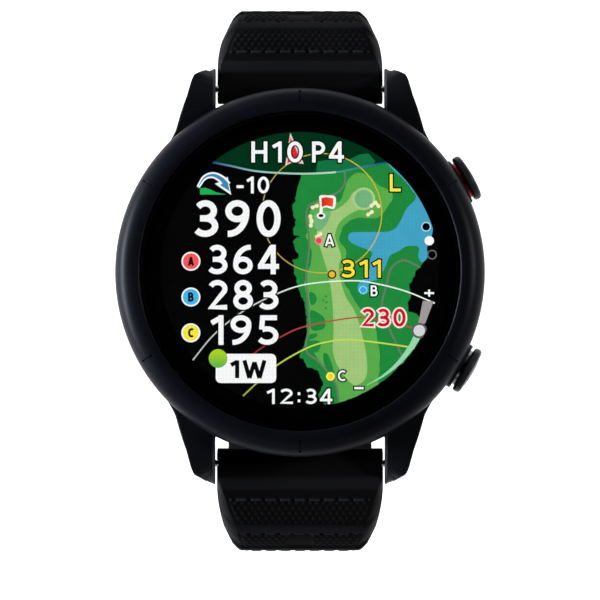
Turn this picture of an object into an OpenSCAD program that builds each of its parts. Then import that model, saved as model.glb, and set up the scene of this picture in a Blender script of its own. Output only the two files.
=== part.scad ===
// Round golf GPS watch with a rubber strap, unbuckled.
// +Z points out of the dial, +Y to 12 o'clock, +X to 3 o'clock.
// The origin is the centre of the flat face of the back cover.

/* [Case] */
// Outside diameter of the bezel
bezel_d = 47.6; // [46:0.1:49]
// Diameter of the opening that holds the glass
bezel_opening_d = 41.2; // [40.8:0.1:41.6]
// Height of the bezel's lip above the back face
case_h = 12.4; // [12.2:0.1:13.2]
// Diameter of the flat face of the back cover
back_flat_d = 30; // [26:0.5:32]
// Diameter of the screw circle of the back cover
back_screw_circle_d = 36.4; // [36:0.1:36.8]

/* [Display] */
// Diameter of the cover glass
glass_d = 40.9; // [40:0.1:41]
// Thickness of the cover glass
glass_t = 1.2; // [1:0.1:1.2]
// Diameter of the display panel
panel_d = 37.2; // [36.2:0.1:37.6]

/* [Lugs and strap bars] */
// Gap between the two lugs of a pair, a standard strap size
lug_gap = 22; // [21.8:0.1:22.4]
// Distance from the dial's centre to a strap bar
bar_y = 24.4; // [24.2:0.1:24.8]
// Height of a strap bar above the back face
bar_z = 3.0; // [2.8:0.1:3.2]
// Outside radius of a strap bar's tube
bar_r = 0.9; // [0.85:0.01:0.95]
// Travel of the quick-release knob
release_travel = 1.1; // [1:0.05:1.15]

/* [Buttons] */
// Angle of each button from 3 o'clock
button_angle = 30; // [26:1:32]
// Height of a button's axis above the back face
button_z = 6.0; // [5.9:0.1:6.1]
// Diameter of a button cap
button_d = 6.1; // [5.6:0.1:6.2]
// Travel of a button
button_travel = 0.3; // [0.2:0.05:0.3]

/* [Strap] */
// Width of the strap at the lugs
strap_w_lug = 21.2; // [20.8:0.1:21.4]
// Width of the strap beyond the lugs
strap_w = 20; // [19:0.5:20]
// Thickness of the strap beside the case
strap_t_thick = 3.9; // [3.6:0.1:4]
// Thickness of the plain band
strap_t = 2.6; // [2.4:0.1:2.8]
// Number of holes in the tail half
hole_count = 9; // [7:1:10]
// Distance between two holes, in degrees of the tail's curve
hole_step = 6; // [5.5:0.5:6.5]

/* [Buckle] */
// Outside width of the buckle
buckle_w = 24.8; // [24.4:0.2:26]
// Length of the buckle beyond its bar
buckle_len = 10.4; // [9.6:0.2:11]

/* [Hidden] */

$fn = 64;
eps = 0.01;

// Case
bezel_r = bezel_d / 2;
opening_r = bezel_opening_d / 2;
case_r = bezel_r - 0.2;
rim_r = 22.7;            // outside of the case's rim, inside the bezel
rim_z = 10.7;            // top of that rim, under the bezel and the glass
bezel_z = 9.0;           // underside of the bezel
cavity_r = opening_r;
ledge_r = 19.0;          // inside of the ledge that carries the glass
ledge_z = 9.65;
back_r = 20.4;           // outside of the back cover
back_z = 2.4;            // top face of the back cover's rim
flange_r = 19.4;         // inside of the flange that the back cover closes
gasket_r = 19.9;
mark_r = 22.9;           // centre of the six engraved marks on the bezel
mark_len = 1.4;
mark_w = 0.18;
mark_depth = 0.1;
recess_y = 21.9;         // face of the case between two lugs
lug_x = lug_gap / 2;
tip_hole_r = 0.5;
tip_hole_depth = 1.25;

// Inside
board_z = 7.0;
board_t = 0.6;
board_r = 18.4;
bracket_r = 17.5;        // middle of the steel strip that backs the switches
frame_z = 9.05;
frame_t = 0.5;
post_places = [[-11, 11.5], [-11, -11.5], [9.5, 12.5], [9.5, -12.5]];

// Buttons, along their own axis from the dial's centre line
cap_x = 24.5;            // underside of the cap when it is released
cap_edge = 0.8;
cap_dome = 0.4;
collar_x = cap_x - button_travel - 0.1;
counterbore_x = 23.0;
ring_r = 2.5;
stem_r = 1.0;
stem_end_x = 20.0;
seal_places = [21.5, 22.3];
clip_x = 20.2;

// Strap, in the plane of Y and Z. The skin side is the inside of each curve.
bend_skin_r = 6.85;
bend_z = bar_z + 2.15 - strap_t_thick - bend_skin_r;
skin_y = bar_y + bend_skin_r;     // where the skin side hangs straight down
end_r = 1.95;                     // the strap's round end at a bar
bar_bore_r = bar_r + 0.08;
bar_inner_r = 0.62;               // hollow of a bar's tube
shoulder_r = 0.58;                // part of a tip that slides inside the tube
tip_r = 0.45;
tip_reach = lug_x + 1;            // how far a tip reaches into a lug
knob_x = 6;
knob_r = 0.42;
knob_len = 2.05;
knob_slot_x = [knob_x - release_travel - knob_r - 0.18, knob_x + knob_r + 0.18];
upper_skin_r = 37;
upper_turn = 93;                  // degrees of curve from the bend to the buckle bar
upper_c = [skin_y - upper_skin_r, bend_z];
lower_drop = 8;                   // straight stretch below the bend of the tail half
lower_skin_r = 64;
lower_turn = 84;
lower_c = [skin_y - lower_skin_r, bend_z - lower_drop];
thick_turn = 24;                  // degrees of the upper curve that stay thick
lower_thick_turn = 8;
width_step = 0.1;                 // the strap narrows by this at each change of section
hole_r = 1.35;
first_hole = 10;                  // degrees from the tail's tip
buckle_bar_r = upper_skin_r + strap_t / 2 + 0.3;

// Keepers
keeper_w = 5;
keeper_t = 1.1;
keeper_side = 0.35;               // gap beside and under the strap
keeper_room = strap_t + 0.6;      // space for the tail half over the strap
fixed_keeper_turn = 20;           // degrees before the buckle bar
sliding_keeper_turn = 36;

// Buckle, along its own direction from its bar
frame_side_t = 1.7;
frame_h = 2.5;
front_bar = 2.4;
tongue_w = 2.2;
tongue_barrel_r = 1.6;
tongue_slot_w = tongue_w + 0.8;

// Points of a cubic curve through a to d, shaped by b and c
function curve(a, b, c, d, n) = [for (i = [0:n]) let (t = i / n, s = 1 - t)
    s * s * s * a + 3 * s * s * t * b + 3 * s * t * t * c + t * t * t * d];

// Quarter ellipse of the bezel's section, set in by depth
function bezel_arc(depth) = [for (i = [0:14]) let (a = i * 90 / 14)
    [opening_r + 0.6 + (bezel_r - opening_r - 0.6 - depth) * cos(a),
     9.6 + (case_h - 0.05 - 9.6 - depth) * sin(a)]];

// A rod along X between two places
module rod(r, x0, x1) {
    translate([x0, 0, 0]) rotate([0, 90, 0]) cylinder(r = r, h = x1 - x0);
}

// A tube along X between two places
module tube(r, hole, x0, x1) {
    difference() {
        rod(r, x0, x1);
        rod(hole, x0 - eps, x1 + eps);
    }
}

// A flat strip bent round the dial's axis
module wall_strip(r, t, a0, a1, z0, z1) {
    rotate([0, 0, a0]) rotate_extrude(angle = a1 - a0)
        translate([r - t / 2, z0]) square([t, z1 - z0]);
}

// A coil of wire along X, swept as a ring of sides at each step
module coil(r, wire_r, x0, x1, turns, steps = 11, sides = 6) {
    rings = turns * steps;
    points = [for (i = [0:rings]) let (a = i * 360 / steps, x = x0 + (x1 - x0) * i / rings)
        for (j = [0:sides - 1]) let (b = j * 360 / sides, q = r + wire_r * cos(b))
            [x + wire_r * sin(b), q * cos(a), q * sin(a)]];
    faces = concat([[for (j = [0:sides - 1]) sides - 1 - j]],
        [for (i = [0:rings - 1], j = [0:sides - 1], half = [0, 1])
            let (k = (j + 1) % sides, a = i * sides, b = a + sides)
            half ? [a + j, a + k, b + k] : [a + j, b + k, b + j]],
        [[for (j = [0:sides - 1]) rings * sides + j]]);
    polyhedron(points, faces);
}

// ---- Case ----

module bezel() {
    color("#14161b") difference() {
        rotate_extrude($fn = 128) polygon(concat(
            [[rim_r + 0.05, bezel_z], [bezel_r - 0.2, bezel_z], [bezel_r, bezel_z + 0.2]],
            bezel_arc(0),
            [[opening_r + 0.15, case_h], [opening_r, case_h - 0.15], [opening_r, rim_z],
             [rim_r + 0.05, rim_z]]));
        for (a = [30:60:330]) rotate([0, 0, a]) difference() {
            translate([mark_r - mark_len / 2, -mark_w / 2, bezel_z])
                cube([mark_len, mark_w, case_h]);
            rotate_extrude($fn = 128) polygon(concat([[opening_r + 0.1, bezel_z - 1],
                [bezel_r - mark_depth, bezel_z - 1]], bezel_arc(mark_depth),
                [[opening_r + 0.1, case_h - 0.2]]));
        }
    }
}

module cover_glass() {
    r = glass_d / 2;
    z = rim_z + 0.2;
    color("#101216", 0.5) rotate_extrude($fn = 128) polygon([[0, z], [r, z],
        [r, z + glass_t - 0.3], [r - 0.1, z + glass_t - 0.1], [r - 0.35, z + glass_t],
        [0, z + glass_t]]);
}

module glass_adhesive() {
    color("#202020") translate([0, 0, rim_z]) difference() {
        cylinder(r = glass_d / 2 - 0.05, h = 0.2, $fn = 128);
        translate([0, 0, -eps]) cylinder(r = ledge_r + 0.2, h = 1, $fn = 128);
    }
}

// Side of a lug, in Y and Z
lug_side = concat([[18, 9.0]], curve([21, 9.0], [24.3, 8.8], [26.2, 6.6], [26.9, 2.5], 12),
    curve([26.9, 2.5], [26.8, 1.5], [25.8, 0.85], [24.4, 0.85], 6), [[21.4, 1.6], [18, 2.6]]);
// Top view of a lug, in X and Y
lug_top = concat([[lug_x, 16], [17.6, 15.8]],
    curve([16.9, 16.6], [16.35, 17.3], [16.1, 18.2], [15.75, 19.5], 6),
    curve([15.75, 19.5], [15.35, 20.9], [14.8, 22.6], [14.2, 24.1], 5),
    curve([14.2, 24.1], [13.95, 24.85], [13.6, 25.2], [12.9, 25.65], 5),
    [[lug_x + 0.05, 26.85], [lug_x, 26.75]]);

module lug() {
    intersection() {
        linear_extrude(12) polygon(lug_top);
        translate([20, 0, 0]) rotate([90, 0, -90]) linear_extrude(12)
            polygon([for (p = lug_side) [-p[0], p[1]]]);
    }
}

module lugs() {
    for (mx = [0, 1], my = [0, 1]) mirror([mx, 0, 0]) mirror([0, my, 0]) lug();
}

module mid_case() {
    color("#191b20") difference() {
        union() {
            difference() {
                rotate_extrude($fn = 128) polygon([[flange_r, 1.7], [20.9, 1.6], [22.2, 2.2],
                    [23.1, 3.2], [case_r, 4.6], [case_r, bezel_z], [rim_r, bezel_z],
                    [rim_r, rim_z], [flange_r, rim_z]]);
                for (my = [0, 1]) mirror([0, my, 0])
                    translate([-lug_x, recess_y, 0]) cube([lug_gap, 5, bezel_z]);
            }
            lugs();
            for (a = [button_angle, -button_angle]) rotate([0, 0, a])
                translate([0, 0, button_z]) intersection() {
                    rod(button_d / 2 + 0.05, 21, collar_x);
                    translate([20, -5, -5]) cube([5, 10, bezel_z - button_z + 5]);
                }
            for (a = [45:90:315]) rotate([0, 0, a])
                translate([back_screw_circle_d / 2, 0, back_z]) cylinder(r = 1.5, h = 3.6);
            rotate_extrude($fn = 128) polygon([[ledge_r, ledge_z], [21, ledge_z],
                [21, rim_z], [ledge_r, rim_z]]);
        }
        // the cavity between the flange and the ledge
        difference() {
            translate([0, 0, 3.4]) cylinder(r = cavity_r, h = ledge_z - 3.4, $fn = 128);
            for (a = [45:90:315]) rotate([0, 0, a])
                translate([back_screw_circle_d / 2, 0, 0]) cylinder(r = 1.5, h = back_z + 3.6);
        }
        translate([0, 0, ledge_z - eps]) cylinder(r = ledge_r, h = 2, $fn = 128);
        translate([0, 0, 1]) cylinder(r = back_r + 0.05, h = back_z - 1, $fn = 128);
        for (a = [45:90:315]) rotate([0, 0, a])
            translate([back_screw_circle_d / 2, 0, 1]) cylinder(r = 0.55, h = 4.4);
        for (a = [button_angle, -button_angle]) rotate([0, 0, a])
            translate([0, 0, button_z]) {
                rod(ring_r + 0.12, counterbore_x, 26);
                rod(1.62, 18, 24);
            }
        for (my = [-1, 1], mx = [0, 1]) mirror([mx, 0, 0]) translate([0, my * bar_y, bar_z])
            rod(tip_hole_r, lug_x - 1, lug_x + tip_hole_depth);
    }
}

module back_cover() {
    color("#1c1d20") difference() {
        rotate_extrude($fn = 128) polygon([[0, 0], [back_flat_d / 2, 0], [back_r - 0.4, 1.35],
            [back_r, 1.65], [back_r, back_z], [flange_r - 0.15, back_z],
            [flange_r - 0.15, back_z + 0.5], [18.6, back_z + 0.5], [18.3, 2.1],
            [back_flat_d / 2 - 0.5, 1.1], [0, 1.1]]);
        translate([0, 0, back_z - 0.45]) difference() {
            cylinder(r = gasket_r + 0.35, h = 1, $fn = 128);
            translate([0, 0, -eps]) cylinder(r = gasket_r - 0.35, h = 2, $fn = 128);
        }
        for (a = [45:90:315]) rotate([0, 0, a]) translate([back_screw_circle_d / 2, 0, 0]) {
            translate([0, 0, -1]) cylinder(r = 1.1, h = 2.45);
            cylinder(r = 0.55, h = 4);
            translate([0, 0, back_z]) cylinder(r = 1.6, h = 1);
        }
        for (x = [-3.75:2.5:3.75]) translate([x, -9, -1]) cylinder(r = 0.95, h = 3);
    }
}

module back_gasket() {
    color("#303030") translate([0, 0, back_z - 0.42]) difference() {
        cylinder(r = gasket_r + 0.3, h = 0.4, $fn = 128);
        translate([0, 0, -eps]) cylinder(r = gasket_r - 0.3, h = 1, $fn = 128);
    }
}

module back_screws() {
    color("#8a8d92") for (a = [45:90:315]) rotate([0, 0, a])
        translate([back_screw_circle_d / 2, 0, 0]) difference() {
            union() {
                translate([0, 0, 0.95]) cylinder(r = 1.0, h = 0.5);
                translate([0, 0, 1]) cylinder(r = 0.5, h = 4.2);
            }
            for (b = [0, 60, 120]) rotate([0, 0, b])
                translate([-0.5, -0.14, 0.9]) cube([1.0, 0.28, 0.3]);
        }
}

module charging_contacts() {
    color("#d9b25f") for (x = [-3.75:2.5:3.75]) translate([x, -9, 0]) {
        translate([0, 0, 0.12]) cylinder(r = 0.9, h = 1.0);
        translate([0, 0, 1.12]) cylinder(r = 1.1, h = 0.2);
    }
}

// ---- Inside ----

module display_panel() {
    color("#0b0b0d") difference() {
        translate([0, 0, 9.7]) cylinder(r = panel_d / 2, h = 0.95, $fn = 128);
        translate([-5, -20, 9]) cube([10, 2.2, 3]);
    }
}

module display_flex() {
    color("#c98b2b") translate([-3, 0, 0]) {
        translate([0, -18.4, 9.6]) cube([6, 2.4, 0.1]);
        translate([0, -18.4, 7.65]) cube([6, 0.12, 2.0]);
        translate([0, -18.4, 7.65]) cube([6, 5.5, 0.12]);
    }
}

module mid_frame() {
    color("#6f747c") difference() {
        union() {
            translate([0, 0, frame_z]) cylinder(r = 20.3, h = frame_t, $fn = 128);
            for (p = post_places) translate([p[0], p[1], board_z + board_t])
                cylinder(r = 1.4, h = frame_z - board_z - board_t + 0.1);
        }
        translate([-4, -21, frame_z - 1]) cube([8, 5.4, 3]);
        for (p = post_places) translate([p[0], p[1], board_z])
            cylinder(r = 0.55, h = frame_z + frame_t - board_z - 0.15);
        for (s = [-1, 1]) translate([s * 6, 0, frame_z - 1]) cylinder(r = 2.2, h = 3);
    }
}

module main_board() {
    color("#15603a") difference() {
        translate([0, 0, board_z]) cylinder(r = board_r, h = board_t, $fn = 128);
        rotate([0, 0, -46]) rotate_extrude(angle = 92, $fn = 128)
            translate([bracket_r - 0.35, board_z - 1]) square([4, 3]);
        for (p = post_places) translate([p[0], p[1], board_z - 1])
            cylinder(r = 0.55, h = 3);
    }
}

module board_shield() {
    color("#c9ccd0") translate([-9.5, -7, board_z + board_t]) difference() {
        cube([17, 14, 1.3]);
        translate([0.2, 0.2, -eps]) cube([16.6, 13.6, 1.1]);
    }
}

// Chips under the shield and beside it, as [x, y, width, depth, height]
chips = [[-8, -5.5, 7.5, 7.5, 0.8], [1, -5.5, 5, 6, 0.8], [-8, 3.2, 5, 3, 0.7], [0, 2.5, 5, 3.4, 0.7],
    [9.2, -3.5, 5.5, 7, 0.7], [-4, -12.8, 8.5, 1.6, 0.9], [-15.5, -3, 4, 6, 0.8],
    [-6, 9.5, 5, 4, 0.7], [2, 9.8, 3.2, 2.5, 0.5]];

module board_chips() {
    color("#26282b") for (c = chips)
        translate([c[0], c[1], board_z + board_t]) cube([c[2], c[3], c[4]]);
}

module board_screws() {
    color("#8a8d92") for (p = post_places) translate([p[0], p[1], 0]) {
        translate([0, 0, board_z - 0.3]) cylinder(r = 0.95, h = 0.3);
        translate([0, 0, board_z - 0.3]) cylinder(r = 0.5, h = 2.3);
    }
}

module battery() {
    color("#b9bdc2") translate([0, 0, 2.75]) difference() {
        translate([-13.5, -11, 0]) cube([27, 22, 3.9]);
        for (sx = [-1, 1], sy = [-1, 1]) translate([sx * 13.5, sy * 11, -1])
            rotate([0, 0, 45]) cube([2.2, 2.2, 12], center = true);
        translate([-3, 9.6, 2.9]) cube([6, 2, 2]);
    }
}

module battery_lead() {
    color("#b3262a") for (x = [-1.2, 1.2]) translate([x, 11.05, 0]) {
        translate([0, 0, 4.6]) rotate([-90, 0, 0]) cylinder(r = 0.3, h = 0.9);
        translate([0, 0.9, 5.3]) rotate([90, 0, 90]) rotate([0, 0, -90])
            rotate_extrude(angle = 90) translate([0.7, 0]) circle(r = 0.3);
        translate([0, 1.6, 5.3]) cylinder(r = 0.3, h = board_z - 5.3);
    }
}

module gps_antenna() {
    color("#d2a24a") wall_strip(20.0, 0.5, 100, 245, 6.4, 8.6);
    color("#d2a24a") wall_strip(18.9, 2.2, 168, 174, 7.62, 8.0);
}

module vibration_motor() {
    color("#9a9ea4") translate([-16.2, 0, 4.7]) rotate([90, 0, 0]) {
        translate([0, 0, -4.5]) cylinder(r = 1.8, h = 6.2);
        translate([0, 0, 1.7]) cylinder(r = 0.4, h = 2.8);
        translate([0, 0, 2.1]) intersection() {
            cylinder(r = 1.6, h = 2.2);
            translate([-2, -2, -1]) cube([4, 2.2, 5]);
        }
    }
}

module charging_flex() {
    color("#c98b2b") {
        translate([-5, -12.5, 1.32]) cube([10, 4.6, 0.12]);
        translate([-2, -12.5, 1.32]) cube([4, 0.12, board_z - 1.32 - 0.12]);
        translate([-2, -12.5, board_z - 0.12]) cube([4, 2, 0.12]);
    }
}

module switch_bracket() {
    color("#8f949b") difference() {
        wall_strip(bracket_r, 0.25, -36, 36, 3.9, frame_z);
        wall_strip(bracket_r, 1, -6, 6, 7.3, 8.2);
    }
}

module side_flex() {
    color("#c98b2b") {
        wall_strip(bracket_r + 0.2, 0.15, -35, 35, 4.4, 7.74);
        wall_strip(bracket_r - 0.9, 2.2, -5, 5, 7.62, 7.74);
    }
}

module switch_at(a) {
    rotate([0, 0, a]) translate([0, 0, button_z]) {
        color("#d8d8d6") translate([bracket_r + 0.3, -1.8, -1.3]) cube([0.85, 3.6, 2.6]);
        color("#3a3a3a") rod(0.7, bracket_r + 1.15, bracket_r + 1.6);
    }
}

module upper_switch() { switch_at(button_angle); }
module lower_switch() { switch_at(-button_angle); }

// ---- Buttons ----

module at_button(a) {
    rotate([0, 0, a]) translate([0, 0, button_z]) children();
}

module button_sleeve() {
    color("#9b9fa6") tube(1.6, stem_r + 0.04, 20.75, 22.95);
}

module button_cap() {
    r = button_d / 2;
    color("#2b2d32") difference() {
        rotate([0, 90, 0]) rotate_extrude() polygon(concat(
            [[0, stem_end_x], [stem_r, stem_end_x], [stem_r, clip_x - 0.03], [0.72, clip_x - 0.03],
             [0.72, clip_x + 0.23], [stem_r, clip_x + 0.23]],
            [for (s = seal_places) each [[stem_r, s - 0.2], [0.7, s - 0.2], [0.7, s + 0.2],
                [stem_r, s + 0.2]]],
            [[stem_r, cap_x], [r - 0.1, cap_x], [r, cap_x + 0.1], [r, cap_x + cap_edge - 0.15]],
            [for (i = [0:5]) let (a = i * 15) [r - 0.9 + 0.9 * cos(a),
                cap_x + cap_edge - 0.15 + 0.4 * sin(a)]],
            [[0, cap_x + cap_edge + cap_dome]]));
    }
}

module button_ring(c) {
    color(c) tube(ring_r, 2.0, 23.45, cap_x - 0.02);
}

module button_seals() {
    color("#22384d") for (s = seal_places) translate([s, 0, 0]) rotate([0, 90, 0])
        rotate_extrude() translate([0.87, 0]) circle(r = 0.15, $fn = 24);
}

module button_clip() {
    color("#a5a8ad") difference() {
        tube(1.7, 0.74, clip_x, clip_x + 0.2);
        translate([clip_x - 1, -0.55, 0]) cube([2, 1.1, 3]);
    }
}

module button_plunger() {
    color("#404247") rod(0.75, stem_end_x - 0.4, stem_end_x - 0.02);
}

module button_spring() {
    color("#c2c5c9") coil(1.55, 0.14, counterbore_x + 0.2, cap_x - 0.18, 3, 14);
}

module upper_button_sleeve() { at_button(button_angle) button_sleeve(); }
module lower_button_sleeve() { at_button(-button_angle) button_sleeve(); }
module upper_button_cap() { at_button(button_angle) button_cap(); }
module lower_button_cap() { at_button(-button_angle) button_cap(); }
module upper_button_ring() { at_button(button_angle) button_ring("#b3121a"); }
module lower_button_ring() { at_button(-button_angle) button_ring("#6d7076"); }
module upper_button_seals() { at_button(button_angle) button_seals(); }
module lower_button_seals() { at_button(-button_angle) button_seals(); }
module upper_button_clip() { at_button(button_angle) button_clip(); }
module lower_button_clip() { at_button(-button_angle) button_clip(); }
module upper_button_plunger() { at_button(button_angle) button_plunger(); }
module lower_button_plunger() { at_button(-button_angle) button_plunger(); }
module upper_button_spring() { at_button(button_angle) button_spring(); }
module lower_button_spring() { at_button(-button_angle) button_spring(); }

// ---- Strap ----

// Sweeps a section, drawn as [radius, x], about the X direction through c.
// Angle 0 points down, 90 points to +Y and 180 points up.
module bend(c, a0, a1) {
    translate([0, c[0], c[1]]) rotate([0, 90, 0]) rotate([0, 0, a0])
        rotate_extrude(angle = a1 - a0, $fn = 128) children();
}

// Section of the strap from its skin side outwards
module band_section(r, t, w) {
    polygon([[r, -w / 2 + 0.3], [r + 0.3, -w / 2], [r + 0.4 * t, -w / 2],
        [r + t - 0.7, -w / 2 + 0.9], [r + t, -w / 2 + 1.6], [r + t, w / 2 - 1.6],
        [r + t - 0.7, w / 2 - 0.9], [r + 0.4 * t, w / 2], [r + 0.3, w / 2], [r, w / 2 - 0.3]]);
}

// The end beside the case: round about the bar, and bent down to the vertical
module strap_root() {
    translate([0, bar_y, bar_z]) rod(end_r, -strap_w_lug / 2, strap_w_lug / 2);
    bend([bar_y, bend_z], 148, 180) band_section(bend_skin_r, strap_t_thick, strap_w_lug);
    bend([bar_y, bend_z], 89, 149)
        band_section(bend_skin_r, strap_t_thick, strap_w + 3 * width_step);
}

// The bore for the bar, and the slot that shows the quick-release knob
module bar_cuts() {
    translate([0, bar_y, bar_z]) {
        rod(bar_bore_r, -12, 12);
        translate([knob_slot_x[0] - 0.1, -0.6, -5])
            cube([knob_slot_x[1] - knob_slot_x[0] + 0.2, 1.2, 5]);
    }
}

module strap_colour() { color("#17181b") children(); }

module upper_strap() {
    strap_colour() difference() {
        union() {
            strap_root();
            bend(upper_c, 90 - thick_turn, 90)
                band_section(upper_skin_r, strap_t_thick - 0.5, strap_w + width_step);
            bend(upper_c, 90 - upper_turn + 1, 90 - thick_turn + 0.5)
                band_section(upper_skin_r, strap_t, strap_w);
            at_buckle() rod(end_r, -strap_w / 2, strap_w / 2);
        }
        bar_cuts();
        at_buckle() {
            rod(bar_bore_r, -12, 12);
            translate([-tongue_slot_w / 2, -4.2, -4]) cube([tongue_slot_w, 8, 8]);
        }
    }
}

module lower_strap() {
    tip = 90 - lower_turn;
    strap_colour() mirror([0, 1, 0]) difference() {
        union() {
            strap_root();
            translate([0, 0, bend_z - lower_drop]) linear_extrude(lower_drop) mirror([1, -1, 0])
                band_section(skin_y, strap_t_thick - 0.5, strap_w + 2 * width_step);
            bend(lower_c, 90 - lower_thick_turn, 90.2)
                band_section(lower_skin_r, strap_t_thick - 0.9, strap_w + width_step);
            bend(lower_c, tip, 90 - lower_thick_turn + 0.5)
                band_section(lower_skin_r, strap_t, strap_w);
            intersection() {
                bend(lower_c, tip - 10, tip + 0.5)
                    band_section(lower_skin_r, strap_t, strap_w - width_step);
                translate([0, lower_c[0], lower_c[1]]) rotate([tip, 0, 0])
                    translate([0, 0, -lower_skin_r - 6]) cylinder(r = strap_w / 2 + 0.6, h = 9);
            }
        }
        bar_cuts();
        for (i = [0:hole_count - 1])
            translate([0, lower_c[0], lower_c[1]]) rotate([tip + first_hole + i * hole_step, 0, 0])
                translate([0, 0, -lower_skin_r - 5]) cylinder(r = hole_r, h = 8);
    }
}

// ---- Strap bars ----

// side is 1 for the upper bar and -1 for the lower
module at_bar(side) {
    translate([0, side * bar_y, bar_z]) children();
}

module bar_tube() {
    color("#a9acb1") difference() {
        tube(bar_r, bar_inner_r, -lug_x + 0.6, lug_x - 0.6);
        translate([knob_slot_x[0], -0.5, -2])
            cube([knob_slot_x[1] - knob_slot_x[0], 1.0, 2]);
    }
}

module bar_fixed_tip() {
    color("#b9bcc1") {
        rod(shoulder_r, -lug_x + 0.65, -7.4);
        rod(tip_r, -tip_reach, -lug_x + 0.7);
    }
}

module bar_spring() {
    color("#c2c5c9") coil(0.38, 0.1, -7.25, 4.0, 10, 9, 5);
}

module bar_release() {
    color("#c9ccd1") {
        rod(shoulder_r, knob_x - 0.6, lug_x - 1.1);
        rod(tip_r, lug_x - 1.2, tip_reach);
        translate([knob_x, 0, -knob_len]) cylinder(r = knob_r, h = knob_len);
    }
}

module upper_bar_tube() { at_bar(1) bar_tube(); }
module upper_bar_fixed_tip() { at_bar(1) bar_fixed_tip(); }
module upper_bar_spring() { at_bar(1) bar_spring(); }
module upper_bar_release() { at_bar(1) bar_release(); }
module lower_bar_tube() { at_bar(-1) bar_tube(); }
module lower_bar_fixed_tip() { at_bar(-1) bar_fixed_tip(); }
module lower_bar_spring() { at_bar(-1) bar_spring(); }
module lower_bar_release() { at_bar(-1) bar_release(); }

// ---- Keepers ----

// A loop round the strap, with room for the tail half on the outside
module keeper(turn) {
    in_r = upper_skin_r - keeper_side;
    out_r = upper_skin_r + strap_t + keeper_room;
    half_w = strap_w / 2 + keeper_side;
    width = keeper_w / upper_skin_r * 180 / PI;
    a0 = 90 - upper_turn + turn;
    bend(upper_c, a0, a0 + width) difference() {
        polygon([[in_r - keeper_t, -half_w - 0.4], [in_r - keeper_t, half_w + 0.4],
            [in_r - keeper_t + 0.7, half_w + keeper_t], [out_r + keeper_t - 0.7, half_w + keeper_t],
            [out_r + keeper_t, half_w + 0.4], [out_r + keeper_t, -half_w - 0.4],
            [out_r + keeper_t - 0.7, -half_w - keeper_t], [in_r - keeper_t + 0.7, -half_w - keeper_t]]);
        translate([in_r, -half_w]) square([out_r - in_r, 2 * half_w]);
    }
}

module fixed_keeper() { color("#17181b") keeper(fixed_keeper_turn); }
module sliding_keeper() { color("#17181b") keeper(sliding_keeper_turn); }

// ---- Buckle ----

// Puts a shape at the buckle's bar, with -Y along the buckle and -Z outwards
module at_buckle() {
    translate([0, upper_c[0], upper_c[1]]) rotate([90 - upper_turn, 0, 0])
        translate([0, 0, -buckle_bar_r]) children();
}

module buckle_frame() {
    w = buckle_w / 2;
    inner = w - frame_side_t;
    color("#23252a") at_buckle() difference() {
        union() {
            // the two sides
            for (m = [0, 1]) mirror([m, 0, 0]) {
                translate([inner, -buckle_len + 1, -frame_h / 2])
                    cube([frame_side_t, buckle_len - 1, frame_h]);
                rod(frame_h / 2 + 0.25, inner, w);
            }
            // the front bar
            translate([-w + 0.8, -buckle_len, -frame_h / 2 - 0.1])
                cube([buckle_w - 1.6, front_bar, frame_h + 0.1]);
            for (m = [0, 1]) mirror([m, 0, 0]) translate([w - 1.2, -buckle_len + 1.2,
                -frame_h / 2]) cylinder(r = 1.2, h = frame_h);
        }
        for (m = [0, 1]) mirror([m, 0, 0]) rod(tip_hole_r, inner - 1, inner + 1.2);
        translate([-tongue_w / 2 - 0.2, -buckle_len - 1, -frame_h / 2 - 1])
            cube([tongue_w + 0.4, 4, 1.35]);
    }
}

module buckle_tongue() {
    color("#a4a7ac") at_buckle() difference() {
        union() {
            rod(tongue_barrel_r, -tongue_w / 2, tongue_w / 2);
            translate([-tongue_w / 2, -buckle_len - 0.3, -tongue_barrel_r])
                cube([tongue_w, buckle_len + 0.3, 0.62]);
            translate([-tongue_w / 2, -2.6, -tongue_barrel_r]) cube([tongue_w, 2.6, 1.2]);
        }
        rod(bar_r + 0.05, -3, 3);
    }
}

module buckle_bar_tube() {
    color("#a9acb1") at_buckle()
        tube(bar_r, bar_inner_r, -strap_w / 2 + 0.1, strap_w / 2 - 0.1);
}

module buckle_bar_tips() {
    inner = buckle_w / 2 - frame_side_t;
    color("#b9bcc1") at_buckle() for (m = [0, 1]) mirror([m, 0, 0]) {
        rod(shoulder_r, 6.4, strap_w / 2 - 0.3);
        rod(tip_r, strap_w / 2 - 0.4, inner + 1.0);
    }
}

module buckle_bar_spring() {
    color("#c2c5c9") at_buckle() coil(0.38, 0.1, -6.2, 6.2, 10, 9, 5);
}

bezel();
cover_glass();
glass_adhesive();
display_panel();
display_flex();
mid_frame();
mid_case();
main_board();
board_shield();
board_chips();
board_screws();
battery();
battery_lead();
gps_antenna();
vibration_motor();
back_gasket();
back_cover();
back_screws();
charging_contacts();
charging_flex();
switch_bracket();
side_flex();
upper_switch();
lower_switch();
upper_button_sleeve();
lower_button_sleeve();
upper_button_cap();
upper_button_ring();
upper_button_seals();
upper_button_clip();
upper_button_plunger();
upper_button_spring();
lower_button_cap();
lower_button_ring();
lower_button_seals();
lower_button_clip();
lower_button_plunger();
lower_button_spring();
upper_strap();
upper_bar_tube();
upper_bar_fixed_tip();
upper_bar_spring();
upper_bar_release();
lower_strap();
lower_bar_tube();
lower_bar_fixed_tip();
lower_bar_spring();
lower_bar_release();
fixed_keeper();
sliding_keeper();
buckle_frame();
buckle_tongue();
buckle_bar_tube();
buckle_bar_tips();
buckle_bar_spring();
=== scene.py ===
"""Looks of a round golf GPS watch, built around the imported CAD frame.

Shapes are worked out in millimetres, with +Z out of the dial and +Y to 12 o'clock, and turned into
metres when a mesh is made.
"""
import math

import bmesh
import bpy
from mathutils import Matrix, Vector, noise


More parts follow.
